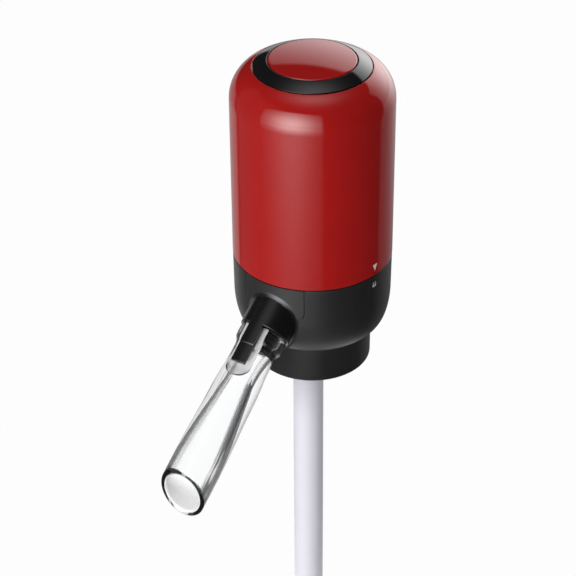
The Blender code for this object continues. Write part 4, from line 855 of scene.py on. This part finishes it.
def root_fillet():
    """A concave web between the slanted sleeve and the panel's curved face."""
    section = []
    for k in range(WEB_STEPS + 1):
        turn = math.pi / 2 * k / WEB_STEPS
        section.append((WEB_ACROSS * (1 - math.sin(turn)) - SINK, WEB_ALONG * (1 - math.cos(turn)) - SINK))
    section.append((-SINK, -3 * SINK))
    count = len(section)
    shape = bmesh.new()
    rings = []
    for i in range(TUBE_SIDES):
        angle = 2 * math.pi * i / TUBE_SIDES
        ring = []
        for reach, lift in section:
            x = (SLEEVE_RADIUS + reach) * math.cos(angle)
            up = (SLEEVE_RADIUS + reach) * math.sin(angle)
            ring.append(shape.verts.new((x, up, wall_place(x, up) + lift)))
        rings.append(ring)
    for i, ring in enumerate(rings):
        after = rings[(i + 1) % TUBE_SIDES]
        for k in range(count):
            m = (k + 1) % count
            shape.faces.new((ring[k], after[k], after[m], ring[m]))
    shape.transform(spout_matrix)
    return finished("root_fillet", shape)


def tongue_strip():
    """Strip on top of the sleeve, with a small step, that keys the clear spout."""
    thin = SLEEVE_RADIUS - TONGUE_STEP
    flush = SLEEVE_RADIUS + SINK / 10
    start = SLEEVE_END - OVERRUN / 2
    outline = [
        (0, TONGUE_END, 0), (thin, TONGUE_END, EDGE), (thin, TONGUE_STEP_PLACE + TONGUE_STEP, TONGUE_STEP),
        (flush, TONGUE_STEP_PLACE, TONGUE_STEP), (flush, start, 0), (0, start, 0),
    ]
    tongue = lathe("tongue", rounded(outline), TUBE_SIDES, spout_matrix)
    low = (-TONGUE_WIDTH / 2, TONGUE_LOW, SLEEVE_START)
    high = (TONGUE_WIDTH / 2, SLEEVE_RADIUS + OVERRUN, TONGUE_END + OVERRUN)
    return combine(tongue, [block("strip", low, high, spout_matrix)], "INTERSECT")


def make_mount():
    """Panel, slanted sleeve with its web and tongue, and the spigot with two ring seats."""
    seats = []
    for place in reversed(SEAT_PLACES):
        middle = SLEEVE_END + place
        half = RING_WIRE + GAP
        seats += [(SPIGOT_RADIUS, middle + half, 0), (SEAT_RADIUS, middle + half, 0)]
        seats += [(SEAT_RADIUS, middle - half, 0), (SPIGOT_RADIUS, middle - half, 0)]
    points = [
        (SPIGOT_RADIUS, SPIGOT_END, 2 * EDGE), *seats, (SPIGOT_RADIUS, SLEEVE_END, 0),
        (SLEEVE_RADIUS, SLEEVE_END, EDGE), (SLEEVE_RADIUS, SLEEVE_START, 0), (NIPPLE_RADIUS, SLEEVE_START, 0),
        (NIPPLE_RADIUS, NIPPLE_START, EDGE), (WINE_WAY, NIPPLE_START, EDGE), (WINE_WAY, SPIGOT_END, EDGE),
    ]
    mount = lathe("spout_socket", rounded(points), TUBE_SIDES, spout_matrix)
    panel = panel_tool("panel", 0, PANEL_INNER, BASE_RADIUS)
    radius = SLEEVE_RADIUS - GAP
    way = rod("way", radius, SLEEVE_START - OVERRUN, SLEEVE_END + OVERRUN, TUBE_SIDES, spout_matrix)
    combine(panel, [way], "DIFFERENCE")
    combine(mount, [panel, root_fillet()], "UNION")
    combine(mount, [tongue_strip()], "UNION")
    return dress(mount, "base", ["spout_mount"], "black_plastic", finish="black_mount")


def make_seals():
    centre = SEAT_RADIUS + GAP + RING_WIRE
    for i, place in enumerate(SEAT_PLACES, 1):
        outline = arc(centre, SLEEVE_END + place, RING_WIRE, 0, -2 * math.pi, SMALL_SIDES)[:-1]
        seal = lathe(f"seal_{i}", outline, TUBE_SIDES, spout_matrix)
        dress(seal, "base", [f"spout_oring_{i}"], "black_rubber")


def smooth_curve(points):
    """Evenly spread points on a smooth curve through (place, radius) points."""
    result = []
    ends = [points[0], *points, points[-1]]
    for i in range(len(points) - 1):
        (a0, r0), (a1, r1), (a2, r2), (a3, r3) = ends[i : i + 4]
        before = (r2 - r0) / (a2 - a0) * (a2 - a1)
        after = (r3 - r1) / (a3 - a1) * (a2 - a1)
        for step in range(CURVE_STEPS):
            t = step / CURVE_STEPS
            radius = (
                (2 * t**3 - 3 * t**2 + 1) * r1 + (t**3 - 2 * t**2 + t) * before
                + (3 * t**2 - 2 * t**3) * r2 + (t**3 - t**2) * after
            )
            result.append((a1 + (a2 - a1) * t, radius))
    return [*result, points[-1]]


def slant_tip(spout):
    """Slants the tube's end, more and more towards its tip."""
    slope = math.tan(TIP_TILT)
    for vert in spout.data.vertices:
        share = max(0.0, (vert.co.z - SLANT_START) / (TIP_PLACE - SLANT_START))
        share = share * share * (3 - 2 * share) if share < 1 else 1
        vert.co.z -= share * slope * vert.co.y


def tongue_pocket():
    """Open pocket for the tongue, deeper beyond the tongue's step, with a round end."""
    round_place = POCKET_END - POCKET_HALF
    top = SLEEVE_RADIUS + OVERRUN
    high = (POCKET_HALF, top, round_place)
    pocket = block("pocket", (-POCKET_HALF, POCKET_LOW, SPOUT_START - OVERRUN), high, spout_matrix)
    deep = block("pocket_deep", (-POCKET_HALF, POCKET_DEEP, POCKET_DEEP_PLACE), high, spout_matrix)
    upright = spout_matrix @ Matrix.Translation((0, 0, round_place)) @ Matrix.Rotation(-math.pi / 2, 4, "X")
    end = rod("pocket_end", POCKET_HALF, POCKET_DEEP, top, TUBE_SIDES, upright)
    return combine(pocket, [deep, end], "UNION")


def make_spout():
    """Thick clear tube: flared bore, open pocket for the tongue, and a rounded slanted tip."""
    tip_radius = OUTSIDE[-1][1]
    tip = TIP_PLACE - SPOUT_START
    outside = smooth_curve([*OUTSIDE, (tip, tip_radius)])
    bore = smooth_curve([*BORE, (tip, TIP_BORE)])
    points = [
        *[(radius, SPOUT_START + place, 0) for place, radius in outside[1:-1]],
        (tip_radius, TIP_PLACE, TIP_ROUNDING), (TIP_BORE, TIP_PLACE, TIP_ROUNDING),
        *[(radius, SPOUT_START + place, 0) for place, radius in reversed(bore[:-1])],
        (SOCKET_RADIUS, SPIGOT_END + GAP, 0), (SOCKET_RADIUS, SPOUT_START, EDGE),
        (OUTSIDE[0][1], SPOUT_START, EDGE),
    ]
    spout = lathe("clear_tube", rounded(points, TIP_STEPS), BODY_SIDES)
    slant_tip(spout)
    spout.data.transform(spout_matrix)
    combine(spout, [tongue_pocket()], "DIFFERENCE")
    return dress(spout, "spout", ["clear_spout"], "clear_plastic")


# Marks

MARK_ANGLE = math.radians(-9.0)
MARK_THICKNESS = 0.00012
POINTER = ((-0.00095, 0.0011), (0.0, -0.0011), (0.00095, 0.0011))
POINTER_Z = 0.03054
LOCK_HALF = 0.00078
LOCK_HEIGHT = 0.0014
LOCK_Z = 0.02450
SHACKLE_OUTSIDE = (0.0005616, 0.00117)
SHACKLE_INSIDE = (0.0002808, 0.000858)
SHACKLE_STEPS = 8


def wrapped(name, loops, height, radius):
    """Thin flat shapes laid on the body's wall: loops of (across, up) points, each a filled piece."""
    shape = bmesh.new()
    for loop in loops:
        lower = []
        upper = []
        for across, up in loop:
            turn = MARK_ANGLE + across / radius
            for ring, size in ((lower, radius - SINK), (upper, radius + MARK_THICKNESS)):
                ring.append(shape.verts.new((size * math.cos(turn), size * math.sin(turn), height + up)))
        span(shape, lower, upper)
    return finished(name, shape)


def arch(half_width, height):
    """Half an ellipse, from right to left."""
    turns = [math.pi * i / SHACKLE_STEPS for i in range(SHACKLE_STEPS + 1)]
    return [(half_width * math.cos(turn), height * math.sin(turn)) for turn in turns]


def make_marks():
    """A pointer on the shell and a padlock on the base: twisted so, the shell is locked."""
    pointer = wrapped("pointer_mark", [POINTER], POINTER_Z, BODY_RADIUS)
    dress(pointer, "shell", [], "mark_white")
    shackle = [*arch(*SHACKLE_OUTSIDE), *reversed(arch(*SHACKLE_INSIDE))]
    body = [(-LOCK_HALF, 0), (-LOCK_HALF, -LOCK_HEIGHT), (LOCK_HALF, -LOCK_HEIGHT), (LOCK_HALF, 0)]
    lock = wrapped("lock_mark", [shackle, body], LOCK_Z, BASE_LOWER_RADIUS)
    dress(lock, "base", [], "mark_grey")


for make in (
    make_shell, make_ring, make_button, make_base, make_collar, make_stopper, make_straw, make_mount,
    make_seals, make_spout, make_marks,
):
    make()

for node in frame["nodes"].values():
    for slot in node.material_slots:
        slot.material = finishes[slot.material.name.split(".")[0]]


# Studio: where the light comes from, as seen in glossy surfaces

def direction(azimuth, elevation):
    """Azimuth is counted from the camera's side, positive to the picture's right."""
    a = CAMERA_AZIMUTH + math.radians(azimuth)
    e = math.radians(elevation)
    return Vector((math.sin(a) * math.cos(e), -math.cos(a) * math.cos(e), math.sin(e)))


# Flat soft boxes: azimuth of the middle; left, right and top edges, as shares of the distance; softness of
# the edges; azimuth and elevation where it shines most; spread in degrees sideways, up and down; radiance
SOFTBOXES = (
    (-20, -1.28, 0.66, 0.90, 0.05, -27, 8, 19.5, 20.0, 16.9, 10.9),
    (145, -0.76, 1.07, 0.87, 0.05, 150, 14, 22.0, 21.0, 17.0, 4.8),
)
# Plain glows: azimuth range, elevation range, softness in degrees, radiance
GLOWS = (
    (-170, -127, -91, -3, 8, 0.45),
    (-122, 14, -91, 42, 10, 0.14),
    (106, 166, -91, -3, 8, 0.13),
    (-200, 200, -91, -62, 12, 0.90),
)
OVERHEAD_SPREAD = 14.0
OVERHEAD_LEVEL = 1.8
ROOM_LEVEL = 0.03
LEAST_AHEAD = 0.001

# What clear plastic shows: radiances, and the degrees from straight behind, or of elevation, over which they
# fade in. The low light ends at an elevation of -LOW_EDGE, less LOW_SLANT times the degrees from behind
BEHIND_LEFT = (-27, -22)
BEHIND_RIGHT = (78, 62)
BEHIND_TOP = (30, 16)
BEHIND_LEVEL = 0.93
BRIGHT_PART = (45, 22)
BRIGHT_GAIN = 0.22
LOW_SLANT = 0.3
LOW_EDGE = 54.0
LOW_FADE = (1.5, -1.5)
LOW_SIDES = (105, 92)
LOW_LEVEL = 0.92
DARK_LEVEL = 0.17

# Where the floor's studio and backdrop are seen from: the body's middle, and a place along the spout's axis
MIRROR_CENTRE = (0, 0, 0.05)
CLEAR_CENTRE = 0.070

# World, floor and lamps
WORLD_LEVEL = 0.27
WHITE = (1, 1, 1, 1)
WHITE_SHARE = 0.97
FLOOR_SIZE = 12.0
FLOOR_Z = -0.2405
FLOOR_PATCH = 3.0
FLOOR_TONES = ((0.79, 0.79, 0.79, 1), (0.81, 0.81, 0.81, 1))
LAMP_AIM = Vector((0, 0, 0.04))
LAMP_DISTANCE = 1.2

# Name, azimuth, elevation, size, power
LAMPS = (
    ("key", -36, -7, 0.5, 12.4),
    ("overhead", 180, 80, 0.7, 5.7),
    ("rim", 112, 10, 0.5, 2.2),
)


def bell(nodes, off, spread):
    """Gaussian fall-off of an angle."""
    share = nodes.maths("DIVIDE", off, spread)
    return nodes.maths("EXPONENT", nodes.times(share, share, -0.5))


def away_from(nodes, azimuth, middle):
    """Signed angle in degrees between an azimuth and one counted from the camera."""
    off = nodes.maths("SUBTRACT", azimuth, middle + math.degrees(CAMERA_AZIMUTH))
    return nodes.maths("WRAP", off, 180.0, -180.0)


def ahead(nodes, place, azimuth):
    """How far a direction points towards an azimuth."""
    return nodes.vector("DOT_PRODUCT", place, direction(azimuth, 0))


def angles(nodes, place):
    """Azimuth from the row's front and elevation of a unit direction, in degrees, and its height."""
    x, y, z = nodes.feed(nodes.add("ShaderNodeSeparateXYZ"), {0: place})
    around = nodes.maths("ARCTAN2", x, nodes.times(y, -1.0))
    azimuth = nodes.times(around, 180 / math.pi)
    elevation = nodes.times(nodes.maths("ARCSINE", z), 180 / math.pi)
    return azimuth, elevation, z


def softbox(nodes, place, azimuth, elevation, height, box):
    """Radiance of a flat soft box: crisp edges, and brightest round one spot."""
    middle, left, right, top, soft, peak_azimuth, peak_elevation, aside, above, below, radiance = box
    forward = nodes.maths("MAXIMUM", ahead(nodes, place, middle), LEAST_AHEAD)
    across = nodes.maths("DIVIDE", ahead(nodes, place, middle + 90), forward)
    up = nodes.maths("DIVIDE", height, forward)
    inside = nodes.times(
        nodes.fade(across, left - soft, left + soft),
        nodes.fade(across, right + soft, right - soft),
        nodes.fade(up, top + soft, top - soft),
    )
    off = nodes.maths("SUBTRACT", elevation, peak_elevation)
    rise = nodes.maths("DIVIDE", nodes.maths("MAXIMUM", off, 0.0), above)
    drop = nodes.maths("DIVIDE", nodes.maths("MINIMUM", off, 0.0), below)
    sideways = bell(nodes, away_from(nodes, azimuth, peak_azimuth), aside)
    shine = nodes.times(sideways, bell(nodes, nodes.maths("ADD", rise, drop), 1.0))
    return nodes.times(inside, shine, radiance)


def plain_glow(nodes, azimuth, elevation, glow):
    """Radiance of an even patch with soft edges."""
    left, right, low, high, soft, radiance = glow
    off = nodes.maths("ABSOLUTE", away_from(nodes, azimuth, (left + right) / 2))
    half = (right - left) / 2
    return nodes.times(
        nodes.fade(off, half + soft / 2, half - soft / 2),
        nodes.fade(elevation, high + soft / 2, high - soft / 2),
        nodes.fade(elevation, low, low + soft),
        radiance,
    )


def radiance_group(name):
    """A node group from a direction to a radiance: its helper, its input and its output."""
    tree = bpy.data.node_groups.new(name, "ShaderNodeTree")
    tree.interface.new_socket("Direction", in_out="INPUT", socket_type="NodeSocketVector")
    tree.interface.new_socket("Radiance", in_out="OUTPUT", socket_type="NodeSocketFloat")
    nodes = Nodes(tree)
    return nodes, nodes.add("NodeGroupInput").outputs[0], nodes.add("NodeGroupOutput").inputs[0]


def studio_group():
    """The studio in a world direction: a dim room with a light overhead, soft boxes and glows."""
    nodes, place, result = radiance_group("studio")
    azimuth, elevation, height = angles(nodes, place)
    overhead = bell(nodes, nodes.maths("SUBTRACT", 90.0, elevation), OVERHEAD_SPREAD)
    total = nodes.maths("ADD", nodes.times(overhead, OVERHEAD_LEVEL), ROOM_LEVEL)
    for box in SOFTBOXES:
        total = nodes.maths("ADD", total, softbox(nodes, place, azimuth, elevation, height, box))
    for glow in GLOWS:
        total = nodes.maths("ADD", total, plain_glow(nodes, azimuth, elevation, glow))
    nodes.link(total, result)
    return nodes.tree


def backdrop_group():
    """What clear plastic shows: white behind it, light low down, dark elsewhere."""
    nodes, place, result = radiance_group("backdrop")
    azimuth, elevation, _ = angles(nodes, place)
    off = away_from(nodes, azimuth, 180)
    inside = nodes.times(
        nodes.fade(off, *BEHIND_LEFT), nodes.fade(off, *BEHIND_RIGHT), nodes.fade(elevation, *BEHIND_TOP),
    )
    brighter = nodes.times(nodes.fade(off, *BRIGHT_PART), BRIGHT_GAIN)
    level = nodes.times(inside, nodes.maths("ADD", brighter, BEHIND_LEVEL))
    edge = nodes.maths("ADD", nodes.times(off, LOW_SLANT), LOW_EDGE)
    low = nodes.fade(nodes.maths("ADD", elevation, edge), *LOW_FADE)
    low = nodes.times(low, nodes.fade(nodes.maths("ABSOLUTE", off), *LOW_SIDES), LOW_LEVEL)
    level = nodes.maths("MAXIMUM", level, low)
    nodes.link(nodes.maths("MAXIMUM", level, DARK_LEVEL), result)
    return nodes.tree


def by_ray(nodes, lit, mirrored, refracted, seen, seen_share):
    """One shader for ordinary rays, and others for glossy, transmission and camera rays."""
    path = nodes.add("ShaderNodeLightPath").outputs
    shown = nodes.mix(path["Is Glossy Ray"], lit, mirrored)
    shown = nodes.mix(path["Is Transmission Ray"], shown, refracted)
    return nodes.mix(nodes.times(path["Is Camera Ray"], seen_share), shown, seen)


def make_world(studio, backdrop):
    """Even light, the studio in glossy surfaces, the backdrop in clear ones, and white for the camera.

    The backgrounds but the last keep their default grey of 0.8.
    """
    world = bpy.data.worlds.new("studio_world")
    bpy.context.scene.world = world
    world.use_nodes = True
    world.node_tree.nodes.clear()
    nodes = Nodes(world.node_tree)
    place = nodes.add("ShaderNodeTexCoord").outputs["Generated"]
    lit = nodes.shader("ShaderNodeBackground", Strength=WORLD_LEVEL)
    mirrored = nodes.shader("ShaderNodeBackground", Strength=nodes.group(studio, place))
    refracted = nodes.shader("ShaderNodeBackground", Strength=nodes.group(backdrop, place))
    white = nodes.shader("ShaderNodeBackground", Color=WHITE)
    shown = by_ray(nodes, lit, mirrored, refracted, white, 1.0)
    nodes.link(shown, nodes.add("ShaderNodeOutputWorld").inputs["Surface"])


def make_floor(studio, backdrop):
    """White floor that keeps a faint shadow, and that glossy and clear surfaces see as the studio."""
    half = FLOOR_SIZE / 2
    corners = ((-half, -half), (half, -half), (half, half), (-half, half))
    shape = bmesh.new()
    shape.faces.new([shape.verts.new((x, y, FLOOR_Z)) for x, y in corners])
    floor = finished("floor", shape)
    material, nodes, _ = new_material("floor")
    material.node_tree.nodes.clear()
    place = nodes.add("ShaderNodeNewGeometry").outputs["Position"]
    seen = []
    for group, centre in ((studio, MIRROR_CENTRE), (backdrop, spout_matrix @ Vector((0, 0, CLEAR_CENTRE)))):
        towards = nodes.vector("NORMALIZE", nodes.vector("SUBTRACT", place, centre))
        seen.append(nodes.shader("ShaderNodeEmission", Strength=nodes.group(group, towards)))
    tone = nodes.blend(nodes.spread(nodes.noise(place, FLOOR_PATCH), 0.0, 1.0), *FLOOR_TONES)
    lit = nodes.shader("ShaderNodeBsdfDiffuse", Color=tone)
    white = nodes.shader("ShaderNodeEmission", Color=WHITE)
    shown = by_ray(nodes, lit, *seen, white, WHITE_SHARE)
    nodes.link(shown, nodes.add("ShaderNodeOutputMaterial").inputs["Surface"])
    floor.data.materials.append(material)


def area_lamp(name, azimuth, elevation, size, power):
    """A soft square lamp that looks at the body, and isn't mirrored itself."""
    light = bpy.data.lights.new(name, "AREA")
    light.shape = "SQUARE"
    light.size = size
    light.energy = power
    lamp = bpy.data.objects.new(name, light)
    bpy.context.scene.collection.objects.link(lamp)
    towards = direction(azimuth, elevation)
    lamp.location = LAMP_AIM + towards * LAMP_DISTANCE
    lamp.rotation_euler = towards.to_track_quat("Z", "Y").to_euler()
    lamp.visible_glossy = False
    lamp.visible_camera = False
    lamp.visible_transmission = False


def make_camera():
    data = bpy.data.cameras.new("camera")
    data.lens = CAMERA_LENS
    data.sensor_width = CAMERA_SENSOR
    data.shift_x = CAMERA_SHIFT
    camera = bpy.data.objects.new("camera", data)
    bpy.context.scene.collection.objects.link(camera)
    back = direction(0, math.degrees(CAMERA_ELEVATION))
    camera.location = CAMERA_LOOK + back * CAMERA_DISTANCE
    camera.rotation_euler = back.to_track_quat("Z", "Y").to_euler()
    bpy.context.scene.camera = camera


studio = studio_group()
backdrop = backdrop_group()
make_world(studio, backdrop)
make_floor(studio, backdrop)
for lamp in LAMPS:
    area_lamp(*lamp)
make_camera()
bpy.context.scene.view_settings.view_transform = "Standard"
